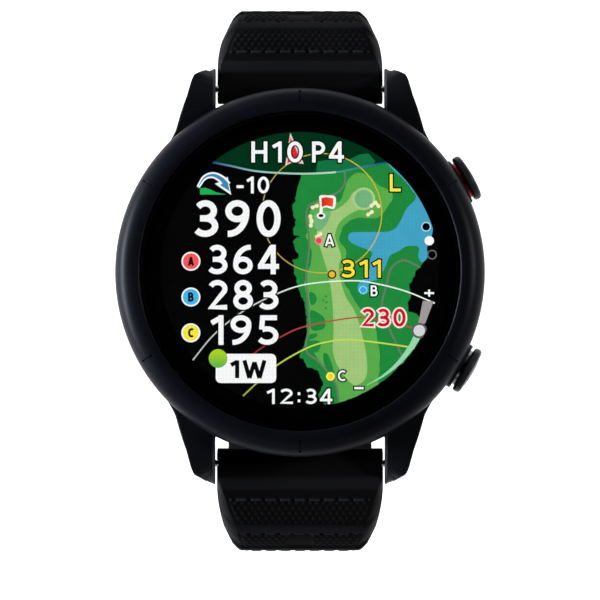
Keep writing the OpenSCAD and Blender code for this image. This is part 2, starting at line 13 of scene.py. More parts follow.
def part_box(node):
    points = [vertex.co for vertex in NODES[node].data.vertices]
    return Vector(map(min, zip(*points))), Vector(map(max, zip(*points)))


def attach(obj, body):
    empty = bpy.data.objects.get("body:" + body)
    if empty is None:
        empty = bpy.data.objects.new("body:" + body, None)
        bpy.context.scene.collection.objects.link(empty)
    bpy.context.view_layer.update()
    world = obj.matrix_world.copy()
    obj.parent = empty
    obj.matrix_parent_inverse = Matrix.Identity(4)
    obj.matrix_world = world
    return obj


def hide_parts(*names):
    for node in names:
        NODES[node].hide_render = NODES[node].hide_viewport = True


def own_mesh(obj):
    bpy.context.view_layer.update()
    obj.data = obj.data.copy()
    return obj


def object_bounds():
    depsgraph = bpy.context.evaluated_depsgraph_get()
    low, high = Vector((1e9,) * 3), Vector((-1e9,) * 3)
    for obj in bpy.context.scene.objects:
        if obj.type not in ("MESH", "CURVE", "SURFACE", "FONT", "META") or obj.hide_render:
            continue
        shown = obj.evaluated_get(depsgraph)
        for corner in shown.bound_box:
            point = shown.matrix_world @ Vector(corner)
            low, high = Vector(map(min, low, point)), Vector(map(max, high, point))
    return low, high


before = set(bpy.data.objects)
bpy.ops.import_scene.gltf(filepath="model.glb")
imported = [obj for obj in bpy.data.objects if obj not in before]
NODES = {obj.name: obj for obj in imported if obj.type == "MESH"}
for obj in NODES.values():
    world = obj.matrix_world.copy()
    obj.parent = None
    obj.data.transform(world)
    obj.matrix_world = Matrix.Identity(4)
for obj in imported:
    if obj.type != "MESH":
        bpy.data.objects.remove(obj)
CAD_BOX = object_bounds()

MM = 0.001
SCENE = bpy.context.scene


# ---------------------------------------------------------------- sizes taken from the frame

def box_mm(node):
    """Lowest and highest corner of a CAD node, in mm."""
    lo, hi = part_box(node)
    return lo / MM, hi / MM


BEZEL_LO, BEZEL_HI = box_mm("bezel")
BEZEL_R = BEZEL_HI.x
BEZEL_TOP = BEZEL_HI.z
BEZEL_LOW = BEZEL_LO.z
GLASS_LO, GLASS_HI = box_mm("cover_glass")
GLASS_R = GLASS_HI.x
OPENING_R = GLASS_R + 0.15
PANEL_TOP = box_mm("display_panel")[1].z
UPPER_BAR = (box_mm("upper_bar_tube")[0] + box_mm("upper_bar_tube")[1]) / 2
BUCKLE_BAR = (box_mm("buckle_bar_tube")[0] + box_mm("buckle_bar_tube")[1]) / 2
RING_BOX = box_mm("upper_button_ring")
BUTTON_Z = (RING_BOX[0].z + RING_BOX[1].z) / 2
BUTTON_TURN = math.radians(30)  # above and below 3 o'clock
BUTTON_SPRING = (23.06, 24.42)  # from the sleeve's face to the underside of the cap
BAR_HOLE_R = 0.98
FLOOR_Z = CAD_BOX[0].z


# ---------------------------------------------------------------- camera, light and floor

def look_at(obj, target):
    obj.rotation_euler = (Vector(target) - obj.location).to_track_quat("-Z", "Y").to_euler()


def make_camera():
    data = bpy.data.cameras.new("camera")
    data.lens = 280
    data.sensor_width = 36
    data.clip_end = 10
    cam = bpy.data.objects.new("camera", data)
    SCENE.collection.objects.link(cam)
    aim = Vector((0, -0.00366, 0.010))
    tilt = math.radians(86)
    cam.location = aim + 0.6 * Vector((0, -math.cos(tilt), math.sin(tilt)))
    look_at(cam, aim)
    SCENE.camera = cam
    SCENE.view_settings.view_transform = "Standard"


def area_light(name, place, width, height, watts, colour=(1, 1, 1)):
    data = bpy.data.lights.new(name, "AREA")
    data.shape = "RECTANGLE"
    data.size, data.size_y = width, height
    data.energy = watts
    data.color = colour
    obj = bpy.data.objects.new(name, data)
    obj.location = place
    SCENE.collection.objects.link(obj)
    look_at(obj, (0, 0, 0))


def make_lights():
    area_light("left_strip", (-0.45, 0.03, 0.07), 0.30, 0.06, 5.6, (0.82, 0.91, 1.0))
    area_light("right_soft", (0.42, 0.07, 0.30), 0.08, 0.08, 1.1)
    area_light("front_soft", (0.0, -0.5, 0.30), 0.6, 0.2, 0.25)
    area_light("back_soft", (0.0, 0.5, 0.30), 0.6, 0.2, 0.25)
    world = bpy.data.worlds.new("studio")
    SCENE.world = world
    world.use_nodes = True
    nodes, links = world.node_tree.nodes, world.node_tree.links
    place = nodes.new("ShaderNodeTexCoord")
    split = nodes.new("ShaderNodeSeparateXYZ")
    ramp = nodes.new("ShaderNodeValToRGB")
    horizon, zenith = (0.5, 0.22), (0.95, 0.004)
    for stop, (position, grey) in zip(ramp.color_ramp.elements, (horizon, zenith)):
        stop.position = position
        stop.color = (grey, grey, grey, 1)
    raise_half = nodes.new("ShaderNodeMath")
    raise_half.operation = "MULTIPLY_ADD"
    raise_half.inputs[1].default_value = 0.5
    raise_half.inputs[2].default_value = 0.5
    links.new(place.outputs["Generated"], split.inputs[0])
    links.new(split.outputs["Z"], raise_half.inputs[0])
    links.new(raise_half.outputs[0], ramp.inputs[0])
    links.new(ramp.outputs[0], nodes["Background"].inputs["Color"])
    nodes["Background"].inputs["Strength"].default_value = 1.0


def make_floor():
    mesh = bpy.data.meshes.new("floor")
    half, gap = 15.0, 0.0002
    mesh.from_pydata([(x * half, y * half, FLOOR_Z - gap) for x, y in ((-1, -1), (1, -1), (1, 1), (-1, 1))],
                     [], [(0, 1, 2, 3)])
    floor = bpy.data.objects.new("floor", mesh)
    SCENE.collection.objects.link(floor)
    material = bpy.data.materials.new("floor_paper")
    material.use_nodes = True
    shader = material.node_tree.nodes["Principled BSDF"]
    for socket, value in {"Base Color": (0.5, 0.5, 0.5, 1), "Roughness": 1.0, "Specular IOR Level": 0.0,
                          "Emission Color": (1, 1, 1, 1), "Emission Strength": 0.97}.items():
        shader.inputs[socket].default_value = value
    mesh.materials.append(material)


# ---------------------------------------------------------------- materials

def linear(code):
    """A colour such as "#14161b" as linear RGBA."""
    parts = [int(code[i:i + 2], 16) / 255 for i in (1, 3, 5)]
    return [c / 12.92 if c <= 0.04045 else ((c + 0.055) / 1.055) ** 2.4 for c in parts] + [1]


class Shader:
    """A Principled material with a few node helpers. Textures use the object's own coordinates."""

    def __init__(self, name):
        self.material = bpy.data.materials.new(name)
        self.material.use_nodes = True
        self.nodes = self.material.node_tree.nodes
        self.links = self.material.node_tree.links
        self.bsdf = self.nodes["Principled BSDF"]
        self.place = self.nodes.new("ShaderNodeTexCoord").outputs["Object"]

    def set(self, **values):
        for key, value in values.items():
            self.bsdf.inputs[key.replace("_", " ")].default_value = value
        return self

    def link(self, output, socket):
        self.links.new(output, self.bsdf.inputs[socket])
        return self

    def node(self, kind, inputs, **settings):
        """A new node. inputs maps sockets, by name or number, to a value or to an output to link."""
        node = self.nodes.new("ShaderNode" + kind)
        for key, value in settings.items():
            setattr(node, key, value)
        for key, value in inputs.items():
            if isinstance(value, bpy.types.NodeSocket):
                self.links.new(value, node.inputs[key])
            else:
                node.inputs[key].default_value = value
        return node

    def stretch(self, x, y, z):
        return self.node("Mapping", {"Scale": (x, y, z), "Vector": self.place}).outputs[0]

    def noise(self, scale, detail=4, source=None, rough=0.55):
        return self.node("TexNoise", {"Scale": scale, "Detail": detail, "Roughness": rough,
                                      "Vector": source or self.place}).outputs["Fac"]

    def cells(self, scale):
        return self.node("TexVoronoi", {"Scale": scale, "Vector": self.place}).outputs["Distance"]

    def wave(self, scale, direction, distortion=0.0):
        return self.node("TexWave", {"Scale": scale, "Distortion": distortion, "Vector": self.place},
                         bands_direction=direction).outputs["Fac"]

    def split(self):
        """The object's own x, y and z."""
        return self.node("SeparateXYZ", {0: self.place}).outputs

    def math(self, operation, a, b):
        return self.node("Math", {0: a, 1: b}, operation=operation).outputs[0]

    def map(self, value, from_low, from_high, low=0.0, high=1.0):
        return self.node("MapRange", {"From Min": from_low, "From Max": from_high, "To Min": low,
                                      "To Max": high, "Value": value}).outputs[0]

    def spread(self, value, low, high):
        """Maps 0.3 to 0.7 of a noise to low and high."""
        return self.map(value, 0.3, 0.7, low, high)

    def ramp(self, value, stops):
        node = self.node("ValToRGB", {0: value})
        for element, (position, colour) in zip(node.color_ramp.elements, stops):
            element.position = position
            element.color = linear(colour)
        return node.outputs["Color"]

    def bump(self, height, distance, strength):
        node = self.node("Bump", {"Strength": strength, "Distance": distance, "Height": height})
        return self.link(node.outputs[0], "Normal")

    def mix(self, factor, a, b):
        a, b = (linear(c) if isinstance(c, str) else c for c in (a, b))
        return self.node("Mix", {0: factor, 6: a, 7: b}, data_type="RGBA").outputs[2]


def painted_lug_edge_highlight(s, lug_edge_highlight):
    """Where a painted highlight lies: 0 all over, the given strength along the inner edges of the lugs, a
    lighter strip where their edge catches the light.
    """
    x, y = (s.math("ABSOLUTE", along, 0) for along in s.split()[:2])
    edge = s.math("MULTIPLY", s.math("GREATER_THAN", x, 10.8 * MM), s.math("LESS_THAN", x, 11.26 * MM))
    return s.math("MULTIPLY", s.math("MULTIPLY", edge, s.math("GREATER_THAN", y, 20.5 * MM)), lug_edge_highlight)


def blasted_metal(name, dark, light, metallic, rough_low, rough_high, gloss=0.5, lug_edge_highlight=0.0):
    """Bead-blasted and anodised metal: fine grain, faint cloudiness. Where asked, a painted highlight: a
    lighter grey along the inner edges of the lugs.
    """
    s = Shader(name).set(Specular_IOR_Level=gloss)
    cloud = s.noise(160, 5)
    fine = s.noise(4200, 2)
    colour = s.ramp(cloud, [(0.3, dark), (0.7, light)])
    if lug_edge_highlight:
        # painted highlight: the colour turns lighter grey along the lugs' inner edges
        colour = s.mix(painted_lug_edge_highlight(s, s.spread(cloud, lug_edge_highlight * 0.7, lug_edge_highlight)), colour, "#45474b")
    s.link(colour, "Base Color").set(Metallic=metallic)
    both = s.math("ADD", s.math("MULTIPLY", cloud, 0.5), s.math("MULTIPLY", fine, 0.5))
    s.link(s.spread(both, rough_low, rough_high), "Roughness")
    return s.bump(fine, 0.000006, 0.5).material


def polished_metal(name, dark, light, rough):
    """Turned metal with fine tool marks round its axis and small smears."""
    s = Shader(name)
    smear = s.noise(350, 6)
    s.link(s.ramp(smear, [(0.3, dark), (0.75, light)]), "Base Color").set(Metallic=1.0)
    s.link(s.spread(smear, rough * 0.7, rough * 1.6), "Roughness")
    return s.bump(s.noise(9000, 2), 0.000002, 0.4).material


def brushed_metal(name, dark, light, axis, rough):
    """Long fine scratches along x or y."""
    s = Shader(name)
    scale = {"x": (60, 4200, 4200), "y": (4200, 60, 4200)}[axis]
    lines = s.noise(1, 4, s.stretch(*scale), 0.7)
    cloud = s.noise(140, 4)
    s.link(s.ramp(lines, [(0.25, dark), (0.75, light)]), "Base Color").set(Metallic=1.0)
    s.link(s.spread(cloud, rough * 0.75, rough * 1.35), "Roughness")
    return s.bump(lines, 0.000003, 0.35).material


def circular_metal(name, dark, light, rough, coarse):
    """Concentric turning rings about the dial's axis."""
    s = Shader(name)
    rings = s.node("TexWave", {"Scale": coarse, "Distortion": 0.4, "Vector": s.stretch(1, 1, 0)},
                   wave_type="RINGS", rings_direction="Z").outputs["Fac"]
    cloud = s.noise(120, 5)
    s.link(s.ramp(cloud, [(0.3, dark), (0.7, light)]), "Base Color").set(Metallic=0.8)
    s.link(s.spread(cloud, rough * 0.85, rough * 1.25), "Roughness")
    return s.bump(rings, 0.000004, 0.35).material


def strap_rubber():
    """Fluoro rubber: silky black, fine moulded grain, faint dust and shine that differ in patches. Tops of
    the raised ridges, dashes and bumps get a painted highlight, a lighter grey.
    """
    s = Shader("strap_rubber")
    cloud = s.noise(90, 5)
    grain = s.noise(5200, 3)
    pores = s.cells(3600)
    colour = s.ramp(cloud, [(0.28, "#0f0f10"), (0.72, "#151516")])
    painted_highlight = s.node("Attribute", {}, attribute_name="painted_highlight").outputs["Fac"]
    # painted highlight: raised tops of the pattern turn a lighter grey
    s.link(s.mix(s.math("MULTIPLY", painted_highlight, s.spread(cloud, 0.7, 1.0)), colour, "#353537"), "Base Color")
    s.link(s.spread(cloud, 0.42, 0.54), "Roughness")
    s.set(Specular_IOR_Level=0.004)
    both = s.math("ADD", s.math("MULTIPLY", grain, 0.7), s.math("MULTIPLY", pores, 0.3))
    return s.bump(both, 0.000010, 0.45).material


def moulded_plastic(name, dark, light, rough=0.45, grain=2600, gloss=0.5):
    s = Shader(name).set(Specular_IOR_Level=gloss)
    cloud = s.noise(200, 4)
    s.link(s.ramp(cloud, [(0.3, dark), (0.7, light)]), "Base Color")
    s.link(s.spread(cloud, rough * 0.85, rough * 1.2), "Roughness")
    return s.bump(s.noise(grain, 3), 0.000006, 0.5).material


def clear_glass():
    """Strengthened glass: clear, with the faintest smear in its gloss."""
    s = Shader("cover_glass_clear")
    s.set(Base_Color=(1, 1, 1, 1), Transmission_Weight=1.0, IOR=1.47)
    s.link(s.spread(s.noise(60, 6), 0.0, 0.035), "Roughness")
    return s.material


def patterned(name, pattern, stops, rough_noise, rough, bump, metallic=0.0):
    """A finish whose colour and relief follow one pattern of the shader's."""
    s = Shader(name)
    height = pattern(s)
    s.link(s.ramp(height, stops), "Base Color").set(Metallic=metallic)
    s.link(s.spread(s.noise(*rough_noise), *rough), "Roughness")
    return s.bump(height, *bump).material


def board_grid(s):
    return s.math("MAXIMUM", s.wave(420, "X", 3.0), s.wave(360, "Y", 4.0))


def circuit_board():
    return patterned("board_green", board_grid, [(0.80, "#0d4a2a"), (0.93, "#1d7a47")],
                     (900, 3), (0.3, 0.5), (0.00001, 0.4))


def flex_film():
    return patterned("flex_amber", lambda s: s.wave(900, "X"), [(0.45, "#a9661a"), (0.6, "#d39a3c")],
                     (700, 3), (0.25, 0.45), (0.000006, 0.4))


def chip_black():
    return patterned("chip_epoxy", lambda s: s.cells(2400), [(0.1, "#2c2f33"), (0.5, "#191b1e")],
                     (1500, 3), (0.45, 0.65), (0.000008, 0.5))


def battery_foil():
    s = Shader("battery_foil")
    crease = s.noise(420, 8, rough=0.7)
    s.link(s.ramp(crease, [(0.3, "#8d9298"), (0.7, "#c4c8cc")]), "Base Color").set(Metallic=0.9)
    s.link(s.spread(crease, 0.25, 0.45), "Roughness")
    return s.bump(crease, 0.00006, 0.5).material


def panel_black():
    s = Shader("display_panel_black")
    s.link(s.ramp(s.noise(300, 3), [(0.3, "#000001"), (0.7, "#010101")]), "Base Color")
    s.link(s.spread(s.noise(500, 3), 0.25, 0.35), "Roughness")
    return s.set(Specular_IOR_Level=0.02).material


SUBPIXEL = 0.000079  # pitch of the display's cells, in metres


def lit_ink(name, colour, mottle=0.03, scale=900.0, second=None, axis="Y", low=0.0, high=1.0):
    """Part of the lit picture: light from a fine grid of cells, mottled as ground or water where asked.
    With a second colour, the light runs from the first to the second along an axis, from low to high."""
    s = Shader("lit_" + name)
    s.set(Base_Color=(0.001, 0.001, 0.001, 1), Roughness=0.5, Specular_IOR_Level=0.02)
    if second:
        light = s.mix(s.map(s.split()[axis], low * MM, high * MM), colour, second)
    else:
        near, far = ([c * (1 + sign * mottle) for c in linear(colour)[:3]] + [1] for sign in (-1, 1))
        light = s.mix(s.spread(s.noise(scale, 3), 0, 1), near, far)
    s.link(light, "Emission Color")
    pitch = 1 / (20 * SUBPIXEL)
    cells = s.math("MULTIPLY", s.wave(pitch, "X"), s.wave(pitch, "Y"))
    s.link(s.math("ADD", s.math("MULTIPLY", cells, 0.10), 1.045), "Emission Strength")
    return s.material


# ---------------------------------------------------------------- making meshes

def put(name, verts, faces, material, body, replaces=(), angle=35, weld=1e-8):
    """Makes a piece from points in mm, with its finish, the body it rides on and the nodes it stands for.
    Edges sharper than angle stay sharp. Points closer than weld, in metres, become one."""
    mesh = bpy.data.meshes.new(name)
    mesh.from_pydata([Vector(v) * MM for v in verts], [], faces)
    obj = bpy.data.objects.new(name, mesh)
    SCENE.collection.objects.link(obj)
    bm = bmesh.new()
    bm.from_mesh(mesh)
    if weld:
        bmesh.ops.remove_doubles(bm, verts=bm.verts, dist=weld)
    bmesh.ops.recalc_face_normals(bm, faces=bm.faces)
    bm.to_mesh(mesh)
    bm.free()
    return settle(obj, material, body, replaces, angle)


def settle(obj, material, body, replaces=(), angle=35):
    obj.data.materials.clear()
    obj.data.materials.append(material)
    obj.data.shade_smooth()
    obj.data.set_sharp_from_angle(angle=math.radians(angle))
    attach(obj, body)
    if replaces:
        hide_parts(*replaces)
    return obj


def baked(obj):
    """The object with its modifiers applied."""
    graph = bpy.context.evaluated_depsgraph_get()
    mesh = bpy.data.meshes.new_from_object(obj.evaluated_get(graph))
    obj.modifiers.clear()
    obj.data = mesh
    return obj


def soften(node, name, voxel, keep, passes, material, body, added=()):
    """A copy of a CAD node with all its edges rounded, as a moulded or tumbled part has them.
    added holds closed shapes in mm that grow into it."""
    mesh = NODES[node].data.copy()
    mesh.transform(Matrix.Scale(1 / MM, 4))
    bm = bmesh.new()
    bm.from_mesh(mesh)
    for verts, faces in added:
        made = [bm.verts.new(v) for v in verts]
        for face in faces:
            bm.faces.new([made[i] for i in face])
    bm.to_mesh(mesh)
    bm.free()
    obj = bpy.data.objects.new(name, mesh)
    SCENE.collection.objects.link(obj)
    weld = obj.modifiers.new("weld", "WELD")
    weld.merge_threshold = 0.002
    remesh = obj.modifiers.new("remesh", "REMESH")
    remesh.mode = "VOXEL"
    remesh.voxel_size = voxel
    smooth = obj.modifiers.new("smooth", "SMOOTH")
    smooth.factor = 0.5
    smooth.iterations = passes
    baked(obj)
    thin = obj.modifiers.new("thin", "DECIMATE")
    thin.ratio = keep
    baked(obj)
    obj.data.transform(Matrix.Scale(MM, 4))
    return settle(obj, material, body, (node,), 60)


def cut(obj, verts, faces):
    """Cuts a closed shape, given in mm, out of a piece."""
    mesh = bpy.data.meshes.new("cutter")
    mesh.from_pydata([Vector(v) * MM for v in verts], [], faces)
    bm = bmesh.new()
    bm.from_mesh(mesh)
    bmesh.ops.recalc_face_normals(bm, faces=bm.faces)
    bm.to_mesh(mesh)
    bm.free()
    tool = bpy.data.objects.new("cutter", mesh)
    SCENE.collection.objects.link(tool)
    boolean = obj.modifiers.new("cut", "BOOLEAN")
    boolean.operation = "DIFFERENCE"
    boolean.solver = "EXACT"
    boolean.object = tool
    baked(obj)
    bpy.data.objects.remove(tool)
    bpy.data.meshes.remove(mesh)


def lathe(profile, segments, point, closed=True, angles=None):
    """Turns a profile of (radius, height) about an axis. point(radius, height, angle, index) places
    a vertex."""
    angles = angles or [i * 2 * math.pi / segments for i in range(segments)]
    count, around = len(profile), len(angles)
    verts = [point(r, h, a, j) for a in angles for j, (r, h) in enumerate(profile)]
    last = count if closed else count - 1
    faces = []
    for i in range(around):
        k = (i + 1) % around
        for j in range(last):
            m = (j + 1) % count
            faces.append((i * count + j, k * count + j, k * count + m, i * count + m))
    return verts, faces


def about_z(r, h, a, _):
    return (r * math.cos(a), r * math.sin(a), h)


def arc(cx, cy, rx, ry, a0, a1, steps=12):
    """Points of an elliptical arc, angles in degrees."""
    return [(cx + rx * math.cos(math.radians(a0 + (a1 - a0) * i / steps)),
             cy + ry * math.sin(math.radians(a0 + (a1 - a0) * i / steps))) for i in range(steps + 1)]


def rounded(points, radius, steps=4):
    """A closed outline with its corners rounded."""
    out = []
    count = len(points)
    for i, here in enumerate(points):
        p, a, b = Vector(here), Vector(points[i - 1]), Vector(points[(i + 1) % count])
        ra = min(radius, (a - p).length * 0.45)
        rb = min(radius, (b - p).length * 0.45)
        start, end = p + (a - p).normalized() * ra, p + (b - p).normalized() * rb
        for k in range(steps + 1):
            t = k / steps
            out.append(tuple(start * (1 - t) ** 2 + p * 2 * t * (1 - t) + end * t * t))
    return out


# ---------------------------------------------------------------- case

def bezel():
    """The bezel ring: a soft outer curve, a small inner lip and six fine engraved marks."""
    centre_r, centre_z = OPENING_R + 0.6, BEZEL_LOW + 0.6
    wide, high = BEZEL_R - centre_r, BEZEL_TOP - 0.05 - centre_z
    steps = 26
    curve = [(centre_r + wide * math.cos(math.pi / 2 * i / steps),
              centre_z + high * math.sin(math.pi / 2 * i / steps)) for i in range(steps + 1)]
    profile = ([(BEZEL_R - 1.05, BEZEL_LOW), (BEZEL_R - 0.35, BEZEL_LOW), (BEZEL_R - 0.12, BEZEL_LOW + 0.03),
                (BEZEL_R - 0.03, BEZEL_LOW + 0.12), (BEZEL_R, BEZEL_LOW + 0.3)] + curve +
               [(OPENING_R + 0.28, BEZEL_TOP), (OPENING_R + 0.12, BEZEL_TOP - 0.04),
                (OPENING_R + 0.03, BEZEL_TOP - 0.12), (OPENING_R, BEZEL_TOP - 0.25),
                (OPENING_R, BEZEL_TOP - 1.7), (BEZEL_R - 1.05, BEZEL_TOP - 1.7)])
    mark_r0, mark_r1, half_mark, depth = 21.8, 23.3, 0.0062, 0.2
    offsets = [-0.0085, -0.0071, -half_mark, -0.0045, 0, 0.0045, half_mark, 0.0071, 0.0085]
    marks = [math.radians(a) for a in range(30, 360, 60)]
    plain = [i * 2 * math.pi / 288 for i in range(288)]
    plain = [a for a in plain if all(abs(a - m) > 0.0095 for m in marks)]
    angles = sorted(plain + [m + d for m in marks for d in offsets])

    def point(r, h, a, j):
        near = min(abs(a - m) for m in marks)
        if near < half_mark - 1e-6 and mark_r0 < r < mark_r1 and h > centre_z:
            slope = math.atan2((h - centre_z) / high ** 2, (r - centre_r) / wide ** 2)
            r, h = r - depth * math.cos(slope), h - depth * math.sin(slope)
        return about_z(r, h, a, j)

    verts, faces = lathe(profile, 0, point, angles=angles)
    metal = blasted_metal("bezel_metal", "#0c0d12", "#101118", 0.0, 0.34, 0.42, 0.06)
    put("bezel_ring", verts, faces, metal, "case", ("bezel",), 50)


def glass():
    z0, z1, r = GLASS_LO.z, GLASS_HI.z, GLASS_R
    profile = [(0, z0), (r - 0.5, z0), (r - 0.1, z0), (r, z0 + 0.1), (r, z1 - 0.32), (r - 0.04, z1 - 0.17),
               (r - 0.14, z1 - 0.06), (r - 0.32, z1), (r - 0.7, z1), (0, z1)]
    verts, faces = lathe(profile, 192, about_z, closed=False)
    put("glass_disc", verts, faces, clear_glass(), "case", ("cover_glass",), 18, 1e-7)


def shoulders():
    """Four wedges that carry the outer side of each lug on to the round case."""
    low, high = 1.9, 8.9
    shapes = []
    for mx, my in ((1, 1), (-1, 1), (-1, -1), (1, -1)):
        plan = [(x * mx, y * my) for x, y in (
            (14.5, 15.0), (17.35, 16.05), (16.85, 16.9), (16.42, 17.65), (16.08, 18.35), (14.5, 18.35))]
        if mx * my < 0:
            plan.reverse()
        n = len(plan)
        verts = [(x, y, z) for z in (low, high) for x, y in plan]
        faces = [tuple(range(n - 1, -1, -1)), tuple(range(n, 2 * n))]
        faces += [(i, (i + 1) % n, n + (i + 1) % n, n + i) for i in range(n)]
        shapes.append((verts, faces))
    return shapes


def shape_lug(vertex):
    """Gives a lug its slanting tip and keeps the case wall between two lugs under the round bezel."""
    x, y = abs(vertex.co.x) / MM, abs(vertex.co.y) / MM
    inner, tip_y, slant = 10.8, 27.3, 0.54
    grow = 0.0
    if x > inner and y > 23:
        grow = 0.45 * (y - 23) * ease(x, 11.5, 13.3) + 0.12 * max(0, y - 23.7) * (1 - ease(x, 11, 13))
        grow = min(grow, tip_y - slant * (x - 11.1) - y)
    wall = math.sqrt(23.6 ** 2 - min(x, 20) ** 2)
    if x < inner and wall < y < 23:
        grow = wall - y
    if y > 20:
        vertex.co.y *= 1 + grow / y


def case_body():
    # the case metal carries a painted highlight along the lugs' inner edges
    metal = blasted_metal("case_metal", "#0f1013", "#141519", 0.0, 0.38, 0.48, 0.04, lug_edge_highlight=0.9)
    body = soften("mid_case", "case_middle", 0.15, 0.3, 3, metal, "case", shoulders())
    for vertex in body.data.vertices:
        shape_lug(vertex)
    plate = circular_metal("back_plate_metal", "#191a1d", "#24262a", 0.42, 700)
    soften("back_cover", "back_plate", 0.15, 0.25, 3, plate, "case")


# ---------------------------------------------------------------- buttons

def button(side, sign, ring_metal):
    """A fluted mushroom cap with its stem, and the accent ring under it."""
    turn = BUTTON_TURN * sign
    along = Vector((math.cos(turn), math.sin(turn), 0))
    across = Vector((-math.sin(turn), math.cos(turn), 0))
    middle = Vector((0, 0, BUTTON_Z))
    cap_r, under, rim, top = 3.12, BUTTON_SPRING[1], 25.5, 25.78
    flutes, flute_depth = 48, 0.035
    stem = [(0, 20.0), (1.0, 20.0), (1.0, 20.17), (0.72, 20.17), (0.72, 20.43), (1.0, 20.43),
            (1.0, 21.3), (0.7, 21.3), (0.7, 21.7), (1.0, 21.7), (1.0, 22.1), (0.7, 22.1),
            (0.7, 22.5), (1.0, 22.5), (1.0, under + 0.1)]
    skirt = [(0.62, under), (0.3, under + 0.03), (0.1, under + 0.12), (0.01, under + 0.3), (0, under + 0.42),
            (0, rim - 0.42), (0.04, rim - 0.24), (0.16, rim - 0.09), (0.34, rim), (0.6, rim + 0.05),
            (0.8, rim + 0.03), (0.92, rim + 0.03), (1.1, rim + 0.11)]
    profile = stem + [(cap_r - inward, h) for inward, h in skirt]
    profile += [(1.2, top - 0.06), (0.6, top - 0.015), (0, top)]
    fluted = (len(stem) + 4, len(stem) + 5)

    def point(r, h, a, j):
        if j in fluted:
            r -= flute_depth * (0.5 - 0.5 * math.cos(flutes * a)) ** 2
        return middle + along * h + across * (r * math.cos(a)) + Vector((0, 0, r * math.sin(a)))

    body = side + "_button"
    verts, faces = lathe(profile, flutes * 6, point, closed=False)
    cap_metal = blasted_metal(side + "_cap_metal", "#26272a", "#323337", 0.0, 0.16, 0.22, 0.07)
    put(side + "_cap", verts, faces, cap_metal, body, (side + "_button_cap",), 40, 1e-7)
    inner, outer, low, high = 2.0, 2.5, 23.46, 24.47
    section = rounded([(inner, low), (outer, low), (outer, high), (inner, high)], 0.14)
    verts, faces = lathe(section, 72, point)
    put(side + "_ring", verts, faces, ring_metal, body, (side + "_button_ring",), 50)


def buttons():
    red = Shader("anodised_red")
    cloud = red.noise(500, 4)
    red.link(red.ramp(cloud, [(0.3, "#8e060f"), (0.7, "#b30a17")]), "Base Color").set(
        Metallic=0.5, Specular_IOR_Level=0.15)
    red.link(red.spread(cloud, 0.25, 0.36), "Roughness")
    button("upper", 1, red.bump(red.noise(6000, 2), 0.000003, 0.4).material)
    grey = polished_metal("anodised_grey", "#5a5d63", "#83868c", 0.2)
    button("lower", -1, grey)


def spring(name, body, start, direction, length, radius, wire, turns):
    """A coil spring of the given length, wound from its start along direction."""
    d = Vector(direction).normalized()
    u = d.orthogonal().normalized()
    v = d.cross(u)
    sides, steps = 10, int(turns * 28)
    verts, faces = [], []
    for i in range(steps + 1):
        a = 2 * math.pi * turns * i / steps
        out = u * math.cos(a) + v * math.sin(a)
        centre = Vector(start) + out * radius + d * (wire + (length - 2 * wire) * i / steps)
        verts += [centre + (out * math.cos(b) + d * math.sin(b)) * wire
                  for b in (2 * math.pi * k / sides for k in range(sides))]
    for i in range(steps):
        for k in range(sides):
            m = (k + 1) % sides
            faces.append((i * sides + k, i * sides + m, (i + 1) * sides + m, (i + 1) * sides + k))
    faces += [tuple(range(sides - 1, -1, -1)), tuple(steps * sides + k for k in range(sides))]
    obj = put("coil_" + name, verts, faces, SPRING_STEEL, body, (name,), 60)
    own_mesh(obj)


def springs():
    for side, sign in (("upper", 1), ("lower", -1)):
        turn = BUTTON_TURN * sign
        along = Vector((math.cos(turn), math.sin(turn), 0))
        start = along * BUTTON_SPRING[0] + Vector((0, 0, BUTTON_Z))
        spring(side + "_button_spring", "case", start, along, BUTTON_SPRING[1] - BUTTON_SPRING[0],
               1.55, 0.14, 3)
        lo, hi = box_mm(side + "_bar_spring")
        release = box_mm(side + "_bar_release")
        way = 1 if release[0].x + release[1].x > lo.x + hi.x else -1
        axis = (lo + hi) / 2
        start = Vector((lo.x if way > 0 else hi.x, axis.y, axis.z))
        spring(side + "_bar_spring", side + "_band", start, (way, 0, 0), hi.x - lo.x, 0.38, 0.1, 10)


# ---------------------------------------------------------------- strap

# A half goes round its bar, bends over the lugs about BEND_C, and then follows a long arc round the wrist.
SKIN_BEND = 6.85  # radius of the skin side in the bend
BEND_TOP = 3.9  # thickness there
BAND = 2.6  # thickness further down
BEND_C = Vector((UPPER_BAR.y, UPPER_BAR.z + 2.15 - BEND_TOP - SKIN_BEND))
SKIN_Y = BEND_C.x + SKIN_BEND
UPPER_C, UPPER_SKIN, UPPER_END = Vector((SKIN_Y - 37, BEND_C.y)), 37.0, -3.0
LOWER_DROP = 8.0  # straight run of the lower half before its arc
LOWER_C, LOWER_SKIN, LOWER_END = Vector((SKIN_Y - 64, BEND_C.y - LOWER_DROP)), 64.0, 6.0
END_R = 1.95
RIB_RUN = 20.5  # how far the moulded pattern runs from the bar
HALF, BAND_HALF = 10.8, 10.1  # half widths at the bar and further down
FINE, COARSE = 0.14, 1.0  # lengths of a row of faces with and without the pattern


def ease(value, low, high):
    t = min(1, max(0, (value - low) / (high - low)))
    return t * t * (3 - 2 * t)


def plateau(value, low, high, edge):
    return ease(value, low - edge / 2, low + edge / 2) * (1 - ease(value, high - edge / 2, high + edge / 2))


def outward(angle):
    """0 points down, 90 to +Y and 180 up."""
    a = math.radians(angle)
    return Vector((math.sin(a), -math.cos(a)))


def hexagons(x, s, pitch):
    """Bumps on a hexagonal grid, from -0.5 to 1."""
    k = 2 * math.pi / pitch
    return (math.cos(k * s) + math.cos(k * (s / 2 + 0.866 * x)) + math.cos(k * (s / 2 - 0.866 * x))) / 3


def top_half(s):
    """Half width of the strap's outer face, s mm along it from the bar."""
    return 10.3 - 0.75 * ease(s, 2.5, 5.5) - 1.3 * ease(s, 4.5, 10.0) - 0.55 * ease(s, 9.0, 14)


